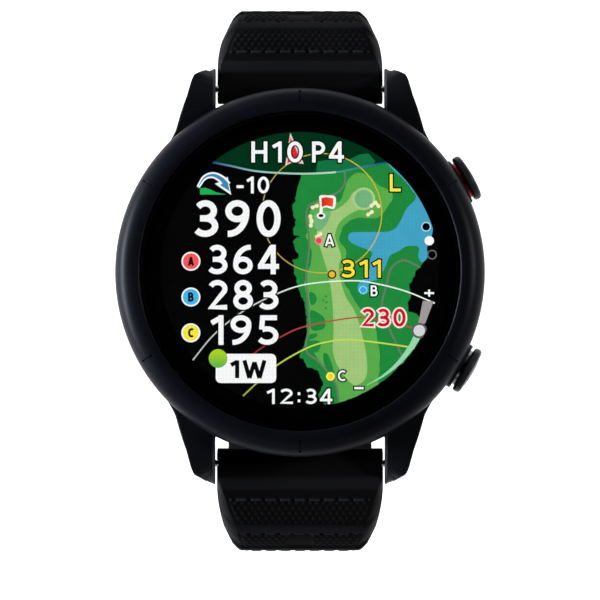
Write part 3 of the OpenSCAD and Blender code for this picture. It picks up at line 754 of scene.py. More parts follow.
def relief(x, s):
    """Height of the moulded pattern on the outer face, and the strength of the painted highlight on its
    raised tops, 0 to 1.
    """
    ridges = max(plateau(s, 1.75, 3.45, 0.7), plateau(s, 8.75, 10.15, 0.55),
                 plateau(s, 14.2, 15.6, 0.55), plateau(s, 19.4, RIB_RUN + 1, 0.6))
    height = 0.34 * ridges * (1 - ease(s, RIB_RUN - 0.4, RIB_RUN + 0.8))
    # painted highlight on the ridges' tops, and below on the dashes and the tops of the bumps
    painted_highlight = 0.75 * height
    for low, high, slit in ((5.1, 8.45, 0.0), (10.5, 13.9, 1.6), (15.9, 19.1, 1.6)):
        inset = top_half(s) - 0.35 - abs(x)
        field = plateau(s, low, high, 0.22) * ease(inset, 0, 0.25)
        if slit:
            field *= ease(abs(x) - slit, -0.12, 0.12)
        dash = plateau(abs((x + 0.95) % 1.9 - 0.95), -1, 0.66, 0.16) * ease(inset, 0.1, 0.3)
        height += field * (0.12 + 0.13 * max(-0.3, hexagons(x, s, 0.76)))
        dash *= plateau(s, low - 0.36, low - 0.04, 0.16)
        height += 0.24 * dash
        painted_highlight += 0.8 * dash + 0.22 * field * max(0, hexagons(x, s, 0.76))
    return height, painted_highlight


class Band:
    """One strap half as rows of section points, from the bar outwards. y is mirrored for the lower half."""

    def __init__(self, mirror):
        self.mirror = mirror
        self.rows = []
        self.painted_highlight = []

    def row(self, skin, normal, thick, half, s, narrow=1.0):
        """One section. skin is its skin-side point in (y, z), half its half width at the skin side."""
        top = min(top_half(s), half - 0.25) * narrow
        half *= narrow
        slope = half - top
        thick += 0.22 * ease(s, 5, 12) * (1 - ease(s, RIB_RUN, RIB_RUN + 3))
        side = [(half - 0.4, 0), (half - 0.12, min(0.09, 0.1 * thick)), (half, min(0.36, 0.2 * thick)),
                (half - 0.03 * slope, min(0.22 * thick + 0.1, 0.3 * thick))]
        side += [(half - inward * slope, height * thick) for inward, height in (
            (0.14, 0.38), (0.32, 0.58), (0.52, 0.77), (0.72, 0.89), (0.90, 0.97))]
        across = 132
        outline = [(x, h + relief(x, s)[0] * ease(h / thick, 0.3, 0.97)) for x, h in side]
        face = [top - 2 * top * i / across for i in range(across + 1)]
        tops = [relief(x, s) for x in face]
        outline += [(x, thick + t[0]) for x, t in zip(face, tops)]
        outline += [(-x, h) for x, h in reversed(outline[:len(side)])]
        under = 10
        outline += [(-(half - 0.4) * (1 - 2 * i / under), 0) for i in range(1, under)]
        # painted highlight strength of each point: only the outer face gets it
        self.painted_highlight += [0.0] * len(side) + [t[1] for t in tops] + [0.0] * (len(outline) - len(side) - len(tops))
        flip = -1 if self.mirror else 1
        self.rows.append([(x, flip * (skin.x + normal.x * h), skin.y + normal.y * h) for x, h in outline])

    def mesh(self):
        count = len(self.rows[0])
        verts = [p for row in self.rows for p in row]
        faces = []
        for i in range(len(self.rows) - 1):
            a, b = i * count, (i + 1) * count
            for j in range(count):
                k = (j + 1) % count
                faces.append((a + j, a + k, b + k, b + j))
        faces.append(tuple(range(count - 1, -1, -1)))
        last = (len(self.rows) - 1) * count
        faces.append(tuple(range(last, last + count)))
        return verts, faces


def strap_start(band):
    """The round end about the bar, and the bend over the lugs. Returns how far the outer face has run."""
    nose = 8
    for i in range(nose, 0, -1):
        phi = math.radians(88 * i / nose)
        h = END_R * math.cos(phi)
        skin = Vector((UPPER_BAR.y - END_R * math.sin(phi), UPPER_BAR.z - h))
        band.row(skin, Vector((0, 1)), 2 * h, HALF - 0.12 * ease(i / nose, 0.4, 1), 0)
    outer = SKIN_BEND + BEND_TOP
    length = outer * math.pi / 2
    steps = 122
    for i in range(steps + 1):
        s = length * i / steps
        angle = 180 - 90 * i / steps
        blend = ease(s, 0, 1.6)
        normal = outward(angle)
        skin_r = SKIN_BEND + (1 - blend) * 0.1
        half = HALF - (HALF - BAND_HALF) * ease(s, 4.5, 16)
        band.row(BEND_C + normal * skin_r, normal, outer - skin_r, half, s)
    return length


def upper_band():
    band = Band(False)
    run = strap_start(band)
    s, angle = run, 90.0
    stop = UPPER_END + math.degrees(1.2 / UPPER_SKIN)
    while angle > stop:
        step = FINE if s < RIB_RUN + 1.4 else COARSE
        s += step
        angle -= math.degrees(step / (UPPER_SKIN + 3.0))
        angle = max(angle, stop)
        thick = BAND + (BEND_TOP - BAND) * (1 - ease(s, run - 0.2, run + 13.5)) - 0.5 * (
            ease(s, run - 1, run + 1.5) * (1 - ease(s, run + 1.5, run + 13.5)))
        swell = ease(UPPER_END + 8.5 - angle, 0, 7)
        normal = outward(angle)
        skin_r = UPPER_SKIN - 0.35 * swell
        thick += (2 * END_R - BAND) * swell
        band.row(UPPER_C + normal * skin_r, normal, thick, BAND_HALF, min(s, 30))
    # the round end about the buckle's bar
    normal = outward(UPPER_END)
    forward = Vector((-normal.y, normal.x)) * -1
    bar = UPPER_C + normal * (UPPER_SKIN + BAND / 2 + 0.3)
    rows = 8
    for i in range(rows + 1):
        phi = math.radians(88 * i / rows)
        h = END_R * math.cos(phi)
        band.row(bar + forward * (END_R * math.sin(phi)) - normal * h, normal, 2 * h, BAND_HALF, 30)
    verts, faces = band.mesh()
    obj = put("strap_upper", verts, faces, RUBBER, "upper_band", ("upper_strap",), 42, 0)
    mark_painted_highlight(obj, band.painted_highlight)
    cut(obj, *rod_shape(UPPER_BAR))
    cut(obj, *knob_slot(1))
    cut(obj, *rod_shape(BUCKLE_BAR))
    cut(obj, *buckle_box((-1.5, -4.2, -4.0), (1.5, 3.8, 4.0)))
    settle_shading(obj)


def lower_band():
    band = Band(True)
    run = strap_start(band)
    s = run
    while s < run + LOWER_DROP:
        s = min(s + FINE, run + LOWER_DROP)
        skin = Vector((SKIN_Y, BEND_C.y - (s - run)))
        thick = BEND_TOP - 0.5 * ease(s, run - 1, run + 1.5) - 0.8 * ease(s, run + 2, run + 16)
        band.row(skin, Vector((1, 0)), thick, BAND_HALF, s)
    angle = 90.0
    tip_r = 10.0
    end = LOWER_END - math.degrees((tip_r - 0.4) / LOWER_SKIN)
    while angle > end:
        step = FINE if s < RIB_RUN + 1.4 else (COARSE if angle > LOWER_END else 0.45)
        s += step
        angle = max(angle - math.degrees(step / (LOWER_SKIN + 1.5)), end)
        beyond = math.radians(LOWER_END - angle) * LOWER_SKIN
        narrow = math.sqrt(max(0.02, 1 - (max(0, beyond) / tip_r) ** 2))
        thick = BEND_TOP - 0.5 - 0.8 * ease(s, run + 2, run + 16) - 0.4 * ease(beyond, 6, 10)
        normal = outward(angle)
        band.row(LOWER_C + normal * LOWER_SKIN, normal, thick, BAND_HALF, min(s, 30), narrow)
    verts, faces = band.mesh()
    obj = put("strap_lower", verts, faces, RUBBER, "lower_band", ("lower_strap",), 42, 0)
    mark_painted_highlight(obj, band.painted_highlight)
    bar = Vector((0, -UPPER_BAR.y, UPPER_BAR.z))
    cut(obj, *rod_shape(bar))
    cut(obj, *knob_slot(-1))
    hole_verts, hole_faces = [], []
    holes, first_hole, hole_step = 9, LOWER_END + 10, 6
    for i in range(holes):
        normal = outward(first_hole + hole_step * i)
        centre = LOWER_C + normal * LOWER_SKIN
        verts, faces = hole_shape(Vector((0, -centre.x, centre.y)), Vector((0, -normal.x, normal.y)), 1.35)
        hole_faces += [tuple(k + len(hole_verts) for k in face) for face in faces]
        hole_verts += verts
    cut(obj, hole_verts, hole_faces)
    settle_shading(obj)


# Stores the painted highlight strength of each point, which the rubber's colour reads.
def mark_painted_highlight(obj, values):
    obj.data.attributes.new("painted_highlight", "FLOAT", "POINT").data.foreach_set("value", values)


def settle_shading(obj):
    obj.data.shade_smooth()
    obj.data.set_sharp_from_angle(angle=math.radians(42))


def tube_shape(start, direction, length, radius):
    """A closed rod, as points and faces."""
    sides = 40
    d = Vector(direction).normalized()
    u = d.orthogonal().normalized()
    v = d.cross(u)
    ring = [u * radius * math.cos(2 * math.pi * i / sides) + v * radius * math.sin(2 * math.pi * i / sides)
            for i in range(sides)]
    verts = [Vector(start) + p for p in ring] + [Vector(start) + d * length + p for p in ring]
    faces = [(i, (i + 1) % sides, sides + (i + 1) % sides, sides + i) for i in range(sides)]
    return verts, faces + [tuple(range(sides)), tuple(range(2 * sides - 1, sides - 1, -1))]


def rod_shape(centre):
    """Room for a bar, right across the strap."""
    return tube_shape((-14, centre.y, centre.z), (1, 0, 0), 28, BAR_HOLE_R)


def hole_shape(point, normal, radius):
    """A hole through the strap, from its skin side."""
    return tube_shape(point - normal * 3, normal, 9, radius)


def box_shape(lo, hi, place=None):
    corners = [(x, y, z) for x in (lo[0], hi[0]) for y in (lo[1], hi[1]) for z in (lo[2], hi[2])]
    verts = [place @ Vector(c) if place else Vector(c) for c in corners]
    return verts, [(0, 1, 3, 2), (4, 6, 7, 5), (0, 4, 5, 1), (2, 3, 7, 6), (0, 2, 6, 4), (1, 5, 7, 3)]


def knob_slot(side):
    """Room for the quick-release knob under the strap's round end."""
    y = side * UPPER_BAR.y
    return box_shape((4.2, y - 0.6, UPPER_BAR.z - 5), (6.7, y + 0.6, UPPER_BAR.z - 0.2))


def buckle_box(lo, hi):
    """A box placed along the buckle: -Y along it and -Z outwards."""
    place = (Matrix.Translation((0, UPPER_C.x, UPPER_C.y)) @ Matrix.Rotation(math.radians(UPPER_END), 4, "X")
             @ Matrix.Translation((0, 0, -(UPPER_SKIN + BAND / 2 + 0.3))))
    return box_shape(lo, hi, place)


def keepers_and_buckle():
    soften("fixed_keeper", "keeper_fixed", 0.16, 0.35, 5, RUBBER, "upper_band")
    soften("sliding_keeper", "keeper_sliding", 0.16, 0.35, 5, RUBBER, "loop")
    dark = blasted_metal("buckle_metal", "#2b2d33", "#3a3d44", 0.9, 0.28, 0.4)
    soften("buckle_frame", "buckle", 0.12, 0.4, 4, dark, "buckle")
    bright = brushed_metal("tongue_metal", "#85888d", "#b3b6bb", "y", 0.26)
    soften("buckle_tongue", "tongue", 0.1, 0.5, 2, bright, "tongue")


# ---------------------------------------------------------------- the lit picture

SCREEN_R = 17.9
PICTURE_UP = 0.24  # how far the whole picture is moved towards 12 o'clock
LEVEL = 0.012  # height of one layer of the picture
EDGE = 0.17  # width of the black edge round a sign
WHITE = "#f4f6f6"
BLACK = "#020203"


def offset_sides(points, widths, closed):
    """Left and right side of a stroke through points, with mitred corners."""
    left, right = [], []
    count = len(points)
    for i, here in enumerate(points):
        p = Vector(here)
        before = Vector(points[i - 1]) if i or closed else None
        after = Vector(points[(i + 1) % count]) if i < count - 1 or closed else None
        d1 = (p - before).normalized() if before is not None else (after - p).normalized()
        d2 = (after - p).normalized() if after is not None else d1
        mid = d1 + d2
        mid = mid.normalized() if mid.length > 1e-6 else d1
        normal = Vector((-mid.y, mid.x))
        reach = min(1.6, 1 / max(0.3, normal.dot(Vector((-d1.y, d1.x)))))
        w = widths[i] if isinstance(widths, list) else widths
        left.append(p + normal * (w / 2) * reach)
        right.append(p - normal * (w / 2) * reach)
    return left, right


class Ink:
    """A flat part of the picture: a thin slab at its own level, built from strokes and filled outlines."""

    def __init__(self, level):
        self.verts, self.faces = [], []
        self.z0 = PANEL_TOP + 0.01 + LEVEL * level
        self.z1 = self.z0 + LEVEL * 0.7

    def slab(self, loop):
        """A filled outline."""
        base, n = len(self.verts), len(loop)
        self.verts += [(p[0], p[1], self.z0) for p in loop] + [(p[0], p[1], self.z1) for p in loop]
        self.faces += [tuple(range(base + n - 1, base - 1, -1)), tuple(range(base + n, base + 2 * n))]
        self.faces += [(base + i, base + (i + 1) % n, base + n + (i + 1) % n, base + n + i) for i in range(n)]
        return self

    def stroke(self, points, width, closed=False):
        left, right = offset_sides(points, width, closed)
        n, base = len(left), len(self.verts)
        for side, z in ((left, self.z0), (right, self.z0), (right, self.z1), (left, self.z1)):
            self.verts += [(p.x, p.y, z) for p in side]
        for i in range(n if closed else n - 1):
            k = (i + 1) % n
            for a in range(4):
                b = (a + 1) % 4
                self.faces.append((base + a * n + i, base + b * n + i, base + b * n + k, base + a * n + k))
        if not closed:
            self.faces.append(tuple(base + a * n for a in range(4)))
            self.faces.append(tuple(base + a * n + n - 1 for a in range(3, -1, -1)))
        return self

    def disc(self, x, y, r, ry=None, steps=40):
        return self.slab(arc(x, y, r, ry or r, 0, 360, steps)[:-1])

    def ring(self, x, y, r, width, steps=64):
        return self.stroke(arc(x, y, r, r, 0, 360, steps)[:-1], width, True)

    def piece(self, name, material):
        self.verts = [(x, y + PICTURE_UP, z) for x, y, z in self.verts]
        return put("screen_" + name, self.verts, self.faces, material, "case", angle=20)

    def lit(self, name, *light, **more):
        """Makes the piece with a light of its own."""
        return self.piece(name, lit_ink(name, *light, **more))


# stroke width and gap of signs one unit high
PEN, GAP = 0.17, 0.13


# Each sign, one unit high: its width, its closed ovals (x, y, rx, ry, steps) and its open lines.
GLYPHS = {
    "0": (.57, [(.285, .5, .2, .415, 32)], []),
    "1": (.36, [], [[(.27, 0), (.27, 1)], [(.03, .735), (.285, .93)]]),
    "2": (.55, [], [arc(.27, .70, .2, .215, 155, -22) + [(.10, .085), (.53, .085)]]),
    "3": (.56, [], [arc(.26, .71, .19, .205, 148, -90), arc(.255, .295, .225, .21, 90, -148),
                    [(.14, .505), (.30, .505)]]),
    "4": (.58, [], [[(.42, 0), (.42, 1)], [(.385, .93), (.07, .30)], [(0, .265), (.58, .265)]]),
    "5": (.55, [], [[(.50, .915), (.135, .915), (.11, .52)], arc(.25, .315, .225, .23, 122, -148)]),
    "6": (.57, [(.285, .30, .2, .215, 28)], [arc(.485, .33, .4, .585, 180, 88)]),
    "8": (.57, [(.285, .725, .17, .19, 28), (.285, .295, .2, .21, 28)], []),
    "A": (.62, [], [[(.06, 0), (.31, 1)], [(.31, 1), (.56, 0)], [(.14, .27), (.48, .27)]]),
    "B": (.57, [], [[(.085, 0), (.085, 1)],
                    [(.085, .915)] + arc(.27, .72, .16, .195, 90, -90) + [(.085, .525)],
                    [(.085, .515)] + arc(.28, .30, .2, .215, 90, -90) + [(.085, .085)]]),
    "C": (.52, [], [arc(.33, .5, .245, .415, 52, 308, 20)]),
    "H": (.585, [], [[(.085, 0), (.085, 1)], [(.50, 0), (.50, 1)], [(.085, .5), (.50, .5)]]),
    "L": (.46, [], [[(.085, 1), (.085, .085), (.46, .085)]]),
    "P": (.535, [], [[(.085, 0), (.085, 1)],
                     [(.085, .915)] + arc(.25, .69, .2, .225, 90, -90) + [(.085, .465)]]),
    "W": (.9, [], [[(.06, 1), (.255, 0)], [(.255, 0), (.45, .9)], [(.45, .9), (.645, 0)],
                   [(.645, 0), (.84, 1)]]),
    "-": (.32, [], [[(0, .40), (.32, .40)]]),
    "+": (.7, [], [[(0, .5), (.7, .5)], [(.35, .15), (.35, .85)]]),
    ":": (.18, [], [[(.09, .12), (.09, .30)], [(.09, .58), (.09, .76)]]),
}


def glyph(sign):
    """The strokes of a sign, each with whether it is closed, and the sign's width. 9 is a 6 turned round."""
    if sign == "9":
        strokes, width = glyph("6")
        return [([(width - x, 1 - y) for x, y in points], closed) for points, closed in strokes], width
    width, ovals, lines = GLYPHS[sign]
    return [(arc(x, y, rx, ry, 0, 360, steps)[:-1], True) for x, y, rx, ry, steps in ovals] + [
        (line, False) for line in lines], width


def write(ink, words, x0, x1, y0, height, edge=0.0, pen=PEN):
    """Writes words so that they fill x0 to x1. With an edge, the strokes are that much wider all round."""
    total = sum(glyph(c)[1] for c in words) + GAP * (len(words) - 1)
    stretch = (x1 - x0) / (total * height)
    cursor = 0.0
    for sign in words:
        strokes, width = glyph(sign)
        for points, closed in strokes:
            points = [Vector((x0 + (cursor + x) * height * stretch, y0 + y * height)) for x, y in points]
            if edge and not closed:
                points[0] = points[0] + (points[0] - points[1]).normalized() * edge
                points[-1] = points[-1] + (points[-1] - points[-2]).normalized() * edge
            ink.stroke(points, pen * height + 2 * edge, closed)
        cursor += width + GAP
    return ink


def smooth_loop(points, steps=5, rag=0.0):
    """A closed Catmull-Rom curve through points, with a ragged edge where asked."""
    out = []
    n = len(points)
    for i in range(n):
        p0, p1, p2, p3 = (Vector(points[(i + k) % n]) for k in (-1, 0, 1, 2))
        for j in range(steps):
            t = j / steps
            p = 0.5 * (2 * p1 + (p2 - p0) * t + (2 * p0 - 5 * p1 + 4 * p2 - p3) * t * t
                       + (3 * p1 - p0 - 3 * p2 + p3) * t ** 3)
            if rag:
                for scale, share in ((1.3, 1.0), (4.1, 0.6)):
                    q = Vector((p.x * scale, p.y * scale, 3.0))
                    p = p + Vector((noise.noise(q), noise.noise(q + Vector((0, 0, 6))))) * rag * share
            if p.length > SCREEN_R - 0.02:
                p = p.normalized() * (SCREEN_R - 0.02)
            out.append(tuple(p))
    return out


def smooth_line(points, steps=8):
    ends = [Vector(points[0]) * 2 - Vector(points[1])] + [Vector(p) for p in points]
    ends.append(ends[-1] * 2 - ends[-2])
    out = []
    for i in range(1, len(ends) - 2):
        p0, p1, p2, p3 = ends[i - 1:i + 3]
        for j in range(steps):
            t = j / steps
            out.append(tuple(0.5 * (2 * p1 + (p2 - p0) * t + (2 * p0 - 5 * p1 + 4 * p2 - p3) * t * t
                                    + (3 * p1 - p0 - 3 * p2 + p3) * t ** 3)))
    return out + [tuple(ends[-2])]


def edge_arc(a0, a1, steps=18):
    """Part of the screen's rim."""
    return arc(0, 0, SCREEN_R - 0.03, SCREEN_R - 0.03, a0, a1, steps)


def outline(text):
    """Points in mm, from "x,y x,y"."""
    return [tuple(float(v) for v in pair.split(",")) for pair in text.split()]


ROUGH_LEFT = outline("""
    3.4,-17.4 2.3,-16.4 3,-14.9 2.6,-14.1 2.2,-12.9 1,-12.5 0.1,-11 0.8,-8.6 0.8,-6.2 0.5,-4.1 0,-2.7
    -0.6,-0.9 -0.8,1
    -0.1,1.7 -0.9,3.5 -0.1,4.2 -0.9,4.7 -0.6,5.9 -0.9,7.9 -0.4,10 0,11.5 0.6,12.9 2.3,13.9""")
ROUGH_TOP = outline("4.2,14.2 6.2,14.1 7.7,14.8 8.8,14.9 9.7,13.9")
ROUGH_RIGHT = outline("16.5,3.4 15.9,1.1 15,-0.3 14.1,-2 14.1,-3.5 13.8,-5.1 15.3,-6.1 15.6,-8.4")
MEADOW = outline("""
    6.6,12 7.5,12.4 8.9,12.1 9.9,11 11.9,9.8 11.3,8.1 9.9,6.6 7.6,6.6 6.1,6 5.2,4.7 5.1,3.6 5.8,2.6 5.9,1.3
    5.6,-1.2 5.8,-1.9 6.6,-3.3 7.6,-4.9 9.5,-7.3 9.9,-8.8 10.2,-11.6 10,-14.8""")
MEADOW_LEFT = outline("""
    5,-17.1 4.7,-15 4.1,-13.6 2.8,-12.2 1.7,-10.6 1.2,-8.5 1.3,-6 0.9,-4 0.6,-1.5 1.3,0.3 1.5,2.4 0.8,4.3
    1.2,5.4 0.7,6.3 1.3,7.4 2,8.5 3.3,8.8 4.9,8.7 5.6,9.7 5.9,10.9""")
WATER = outline("""
    16.9,4.2 16.3,3 16.4,1.6 15.7,0.9 15.2,1.5 15.3,2.6 14.9,3 13.6,2.9 12.5,2.2 11.6,1.8 11,0.4 10.6,-0.4
    10,-1.3 8.9,-1.7 8.7,-3 7.6,-3 7.4,-2.2 8.1,-1.2 8.9,-0.3 9,1.2 9.2,2.2 7.4,3 6.5,3.5 6.2,4 6.6,4.7
    9,4.8 11,4.8 12.2,5.2 13,6.4 13.7,7.8 14.9,9.2 14.3,10.3 13.3,11.6 12.2,12.6 11.6,13.2""")
FAIRWAY = outline("""
    7,10 6.2,8.9 5.2,8 4.2,7.5 3.2,7.3 2.1,6.9 1.9,5.8 2.2,4.4 2.4,3.4 3.1,1.1 3.6,-0.5 3.9,-2.1 4.2,-4.8
    4.3,-8 4.2,-10.1 4.5,-11.7 5.4,-13.4 6.6,-14.7 7.3,-14.9 8.2,-14.3 8.6,-13.2 8.5,-11 8.1,-9 7.6,-7
    6.9,-5.2 5.9,-3.6 5.2,-1.4 5,0.3 5.3,1.6 4.8,3.2 4.5,4.3 4.9,5.7 5.8,6.7 7.2,7.5 9.2,8.4 8.6,10.2""")
HEADER_LOW = outline("-11.4,13.8 -8.9,13.3 -5.4,12.6 0,12.3 4.6,12.5 7.2,13 11.4,13.8")
PATH_LEFT = outline("""
    5.7,12.6 5.8,11.3 5.1,10.1 3.6,9.3 2.1,8.7 1.2,8.2 0.8,6.8 1.2,3.4 0.8,-1.4 1.2,-6.7 0.8,-10.4
    2.4,-11.9 4.5,-14.6 5,-17.1""")
PATH_RIGHT = outline("""
    15.4,0.2 14.1,0.9 13,1.1 11.7,0.1 11.2,-1.7 10.5,-4.8 11.4,-7.5 13,-11 13.2,-12.1""")


def picture_map():
    """The hole seen from above: rough, meadow, water, fairway, green, sand, thickets and paths."""
    rough = ROUGH_LEFT + ROUGH_TOP + edge_arc(50.4, 17.6) + ROUGH_RIGHT + edge_arc(-30.5, -78.5)
    Ink(1).slab(smooth_loop(rough, 7, 0.3)).lit("rough", "#1e873b", 0.05, 700)
    meadow = MEADOW + edge_arc(-56.5, -73.5, 8) + MEADOW_LEFT
    Ink(2).slab(smooth_loop(meadow, 5, 0.14)).lit("meadow", "#58aa4a", 0.05, 800)
    water = edge_arc(50.6, 17.4) + WATER
    Ink(3).slab(smooth_loop(water, 4, 0.05)).lit("water", "#42a2c3", 0.05, 500)
    Ink(3).slab(smooth_loop(FAIRWAY)).lit("fairway", "#9fc679", 0.04, 900)
    Ink(4).disc(8.2, 9.05, 1.46).lit("green_collar", "#a9cf86", 0.03)
    greens = Ink(5).disc(8.2, 9.05, 1.17)
    greens.slab(smooth_loop(outline("1.9,7 2.9,7.5 3.9,7.3 3.7,6.4 3,5.3 2.3,4.9 1.8,5.7")))
    greens.lit("greens", "#72b27c", 0.04)
    sand = Ink(6)
    for x, y, turn in ((1.9, 8.05, 20), (1.4, 6.5, 100), (1.45, 5.9, 80), (2.4, 4.35, 40), (9.4, 8.35, 40),
                       (9.9, 8.35, 130), (9.0, 7.2, 35)):
        a = math.radians(turn)
        for reach in (-0.3, 0.3):
            sand.disc(x + reach * math.cos(a), y + reach * math.sin(a), 0.26, steps=14)
        sand.stroke([(x - 0.3 * math.cos(a), y - 0.3 * math.sin(a)),
                     (x + 0.3 * math.cos(a), y + 0.3 * math.sin(a))], 0.36)
    sand.lit("sand", "#f0ebc0", 0.04, 2000)
    thick = Ink(4)
    for shape in ([(1.2, -3.0), (2.0, -3.3), (2.1, -4.2), (1.4, -4.6)],
                  [(1.4, -5.3), (2.6, -5.8), (3.2, -6.5), (3.1, -7.6), (1.6, -7.9), (1.3, -6.6)],
                  [(1.3, -8.4), (2.2, -8.3), (2.0, -8.8), (1.3, -9.0)],
                  [(1.2, -9.3), (2.2, -9.2), (2.7, -9.6), (2.2, -10.7), (1.3, -10.4)],
                  [(3.0, -10.9), (3.6, -11.0), (4.2, -12.6), (4.4, -13.6), (3.7, -13.4), (3.1, -12.2)]):
        thick.slab(smooth_loop(shape))
    for x, y in ((3.3, -3.5), (3.0, -4.0), (3.4, -4.3), (3.3, -5.0), (2.1, 5.0)):
        thick.disc(x, y, 0.14, steps=12)
    thick.lit("thicket", "#1e873b", 0.06, 900)
    paths = Ink(7).stroke(smooth_line(PATH_LEFT), 0.24).stroke(smooth_line(PATH_RIGHT), 0.26)
    paths.lit("paths", "#647a63", 0.04)


def picture_header():
    """The dark band behind the top line, its coloured lower edge and the compass needle."""
    low = smooth_line(HEADER_LOW)
    rim = arc(0, 0, SCREEN_R - 0.02, SCREEN_R - 0.02, 50.4, 129.6, 40)
    Ink(7).slab(rim + low[1:-1]).lit("header", "#013018", 0.04)
    behind = [(2.0, 12.4), (2.3, 13.9)] + ROUGH_TOP + [(9.4, 13.45), (7.2, 13.0), (4.6, 12.55)]
    Ink(8).slab(behind).lit("header_land", "#127040", 0.05)
    third = len(low) // 3
    for name, part, first, second in (("west", low[:third + 1], "#20408a", "#8fc0b8"),
                                      ("middle", low[third:2 * third + 1], "#8fc0b8", "#b9d9c0"),
                                      ("east", low[2 * third:], "#4a9a90", "#064a86")):
        material = lit_ink("header_" + name, first, second=second, axis="X", low=part[0][0], high=part[-1][0])
        Ink(9).stroke(part, 0.24).piece("header_line_" + name, material)
    Ink(10).slab(outline("-1.25,17.6 -1.9,13.35 -0.9,13.75 0.5,13.55")).lit("needle_edge", "#e6c9c4")
    Ink(11).slab(outline("-1.22,17 -1.62,13.65 -0.9,14 0.2,13.8")).lit("needle", "#e3222c")


def picture_lines():
    """The rings and lines of equal range."""
    gold = Ink(9).ring(2.8, 7.2, 7.7, 0.13, 120)
    gold.lit("ring_gold", "#b7a552", second="#d6b91e", axis="X", low=-3.0, high=6.0)
    for name, width, west, east, low, line in (
            ("white", 0.18, "#b9bfba", "#e4f3e4", -8.0,
             "-13.9,-11.9 -11.1,-8.5 -7.7,-5.7 -3.9,-3.6 0.6,-2 6.6,-1.5 9.9,-1.9 13.7,-2.9 17.3,-4.4"),
            ("red", 0.18, "#8f2b2b", "#b5473a", -6.0,
             "-10.2,-14.6 -5.7,-10.7 -2.6,-8.8 0.6,-7.4 6.6,-6.3 9.9,-6.5 14.3,-7.5"),
            ("lime", 0.2, "#9fae3a", "#c6dc50", -6.0,
             "-7.3,-16.3 -5.7,-14.8 -3,-12.4 0.6,-10.3 3.3,-9.4 6.6,-9.1 12.5,-9.8 14.7,-10.2")):
        Ink(10).stroke(smooth_line(outline(line)), width).lit(
            "range_" + name, west, second=east, axis="X", low=low, high=1.0)


def picture_slider():
    grey = Ink(11).slab([(15.75, -4.1), (17.15, -4.15), (16.05, -7.0), (15.1, -7.2), (15.4, -5.9)])
    grey.lit("slider_upper", "#9d9998")
    trail = smooth_line([(15.2, -8.4), (14.2, -10.1), (12.6, -12.1), (10.7, -13.7), (8.6, -14.9)], 6)
    widths = [0.95 - 0.88 * i / (len(trail) - 1) for i in range(len(trail))]
    Ink(11).stroke(trail, widths).lit("slider_lower", "#97d6ad")
    Ink(12).disc(15.3, -7.92, 1.0).lit("knob_rim", "#5c5a5e")
    Ink(13).disc(15.3, -7.92, 0.74).lit("knob", "#d3d2d4")


def picture_numbers():
    """Numbers and single letters, with dark or pale edges where they lie on the map."""
    white, shade = Ink(14), Ink(12)
    for words in (("390", -13.65, -2.4, 4.13, 4.75), ("364", -11.85, -2.7, -0.67, 3.8),
                  ("283", -11.85, -2.7, -5.24, 3.83), ("195", -11.5, -2.7, -9.76, 3.82),
                  ("-10", -8.15, -3.9, 9.75, 2.17), ("H10", -6.35, 0.45, 13.74, 2.72),
                  ("P4", 1.5, 5.65, 13.74, 2.72), ("12", -4.3, -0.85, -17.35, 1.98),
                  ("34", 0.65, 4.15, -17.35, 1.98), ("A", 3.2, 4.4, 2.95, 1.5), ("B", 9.05, 10.0, -3.5, 1.4),
                  ("C", 4.8, 5.85, -14.4, 1.38)):
        write(white, *words)
        write(shade, *words, edge=EDGE)
    write(white, ":", -0.35, 0.1, -17.35, 1.98)
    write(white, "+", 15.95, 17.2, -3.75, 1.3, pen=0.2)
    white.stroke([(6.95, -15.3), (8.15, -15.3)], 0.3)
    white.lit("numbers", WHITE, 0.015)
    distance, letter = ("311", 5.2, 10.5, -1.1, 2.3), ("L", 11.45, 12.95, 10.0, 2.25)
    for words in (distance, letter):
        write(shade, *words, edge=EDGE)
    shade.stroke([(6.8, -15.3), (8.3, -15.3)], 0.6)
    shade.lit("number_edges", BLACK, 0.05)
    write(Ink(14), *distance).lit("numbers_yellow", "#ffe03a", 0.02)
    write(Ink(14), *letter).lit("letter_yellow", "#f6e84e", 0.02)
    target = ("230", 7.9, 13.6, -7.4, 2.3)
    glow = write(Ink(12), *target, edge=0.22)
    glow.stroke([(10.05, -6.25), (11.0, -6.25)], 0.8).stroke([(11.75, -6.25), (12.6, -6.25)], 0.8)
    glow.lit("number_glow", "#f3e6dc", 0.02)
    write(Ink(14), *target).lit("numbers_red", "#cd0f22", 0.02)


def picture_badges():
    rings = Ink(13)
    letters = Ink(14)
    for name, sign, y, colour in (("red", "A", 1.0, "#f8555a"), ("blue", "B", -3.6, "#45b2ea"),
                                  ("yellow", "C", -8.2, "#f6e63a")):
        Ink(12).disc(-14.0, y, 1.12).lit("badge_" + name, colour)
        rings.ring(-14.0, y, 1.12, 0.2)
        write(letters, sign, -14.33, -13.67, y - 0.56, 1.12, pen=0.24)
    rings.lit("badge_rings", "#f3f5f5")
    letters.lit("badge_letters", "#0c0c10", 0.05)


def picture_club():
    box = rounded([(-10.8, -14.65), (-3.05, -14.65), (-3.05, -10.9), (-10.8, -10.9)], 0.75, 6)
    Ink(12).slab(box).lit("club_box", "#f6f7f7", 0.01)
    Ink(13).disc(-10.5, -11.5, 1.2).lit("ball", "#3fae4c", second="#a9d024", low=-12.7, high=-10.4)
    words = Ink(14)
    write(words, "1W", -8.95, -4.35, -14.02, 2.28, pen=0.235)
    words.lit("club_words", "#0a0a0c", 0.05)


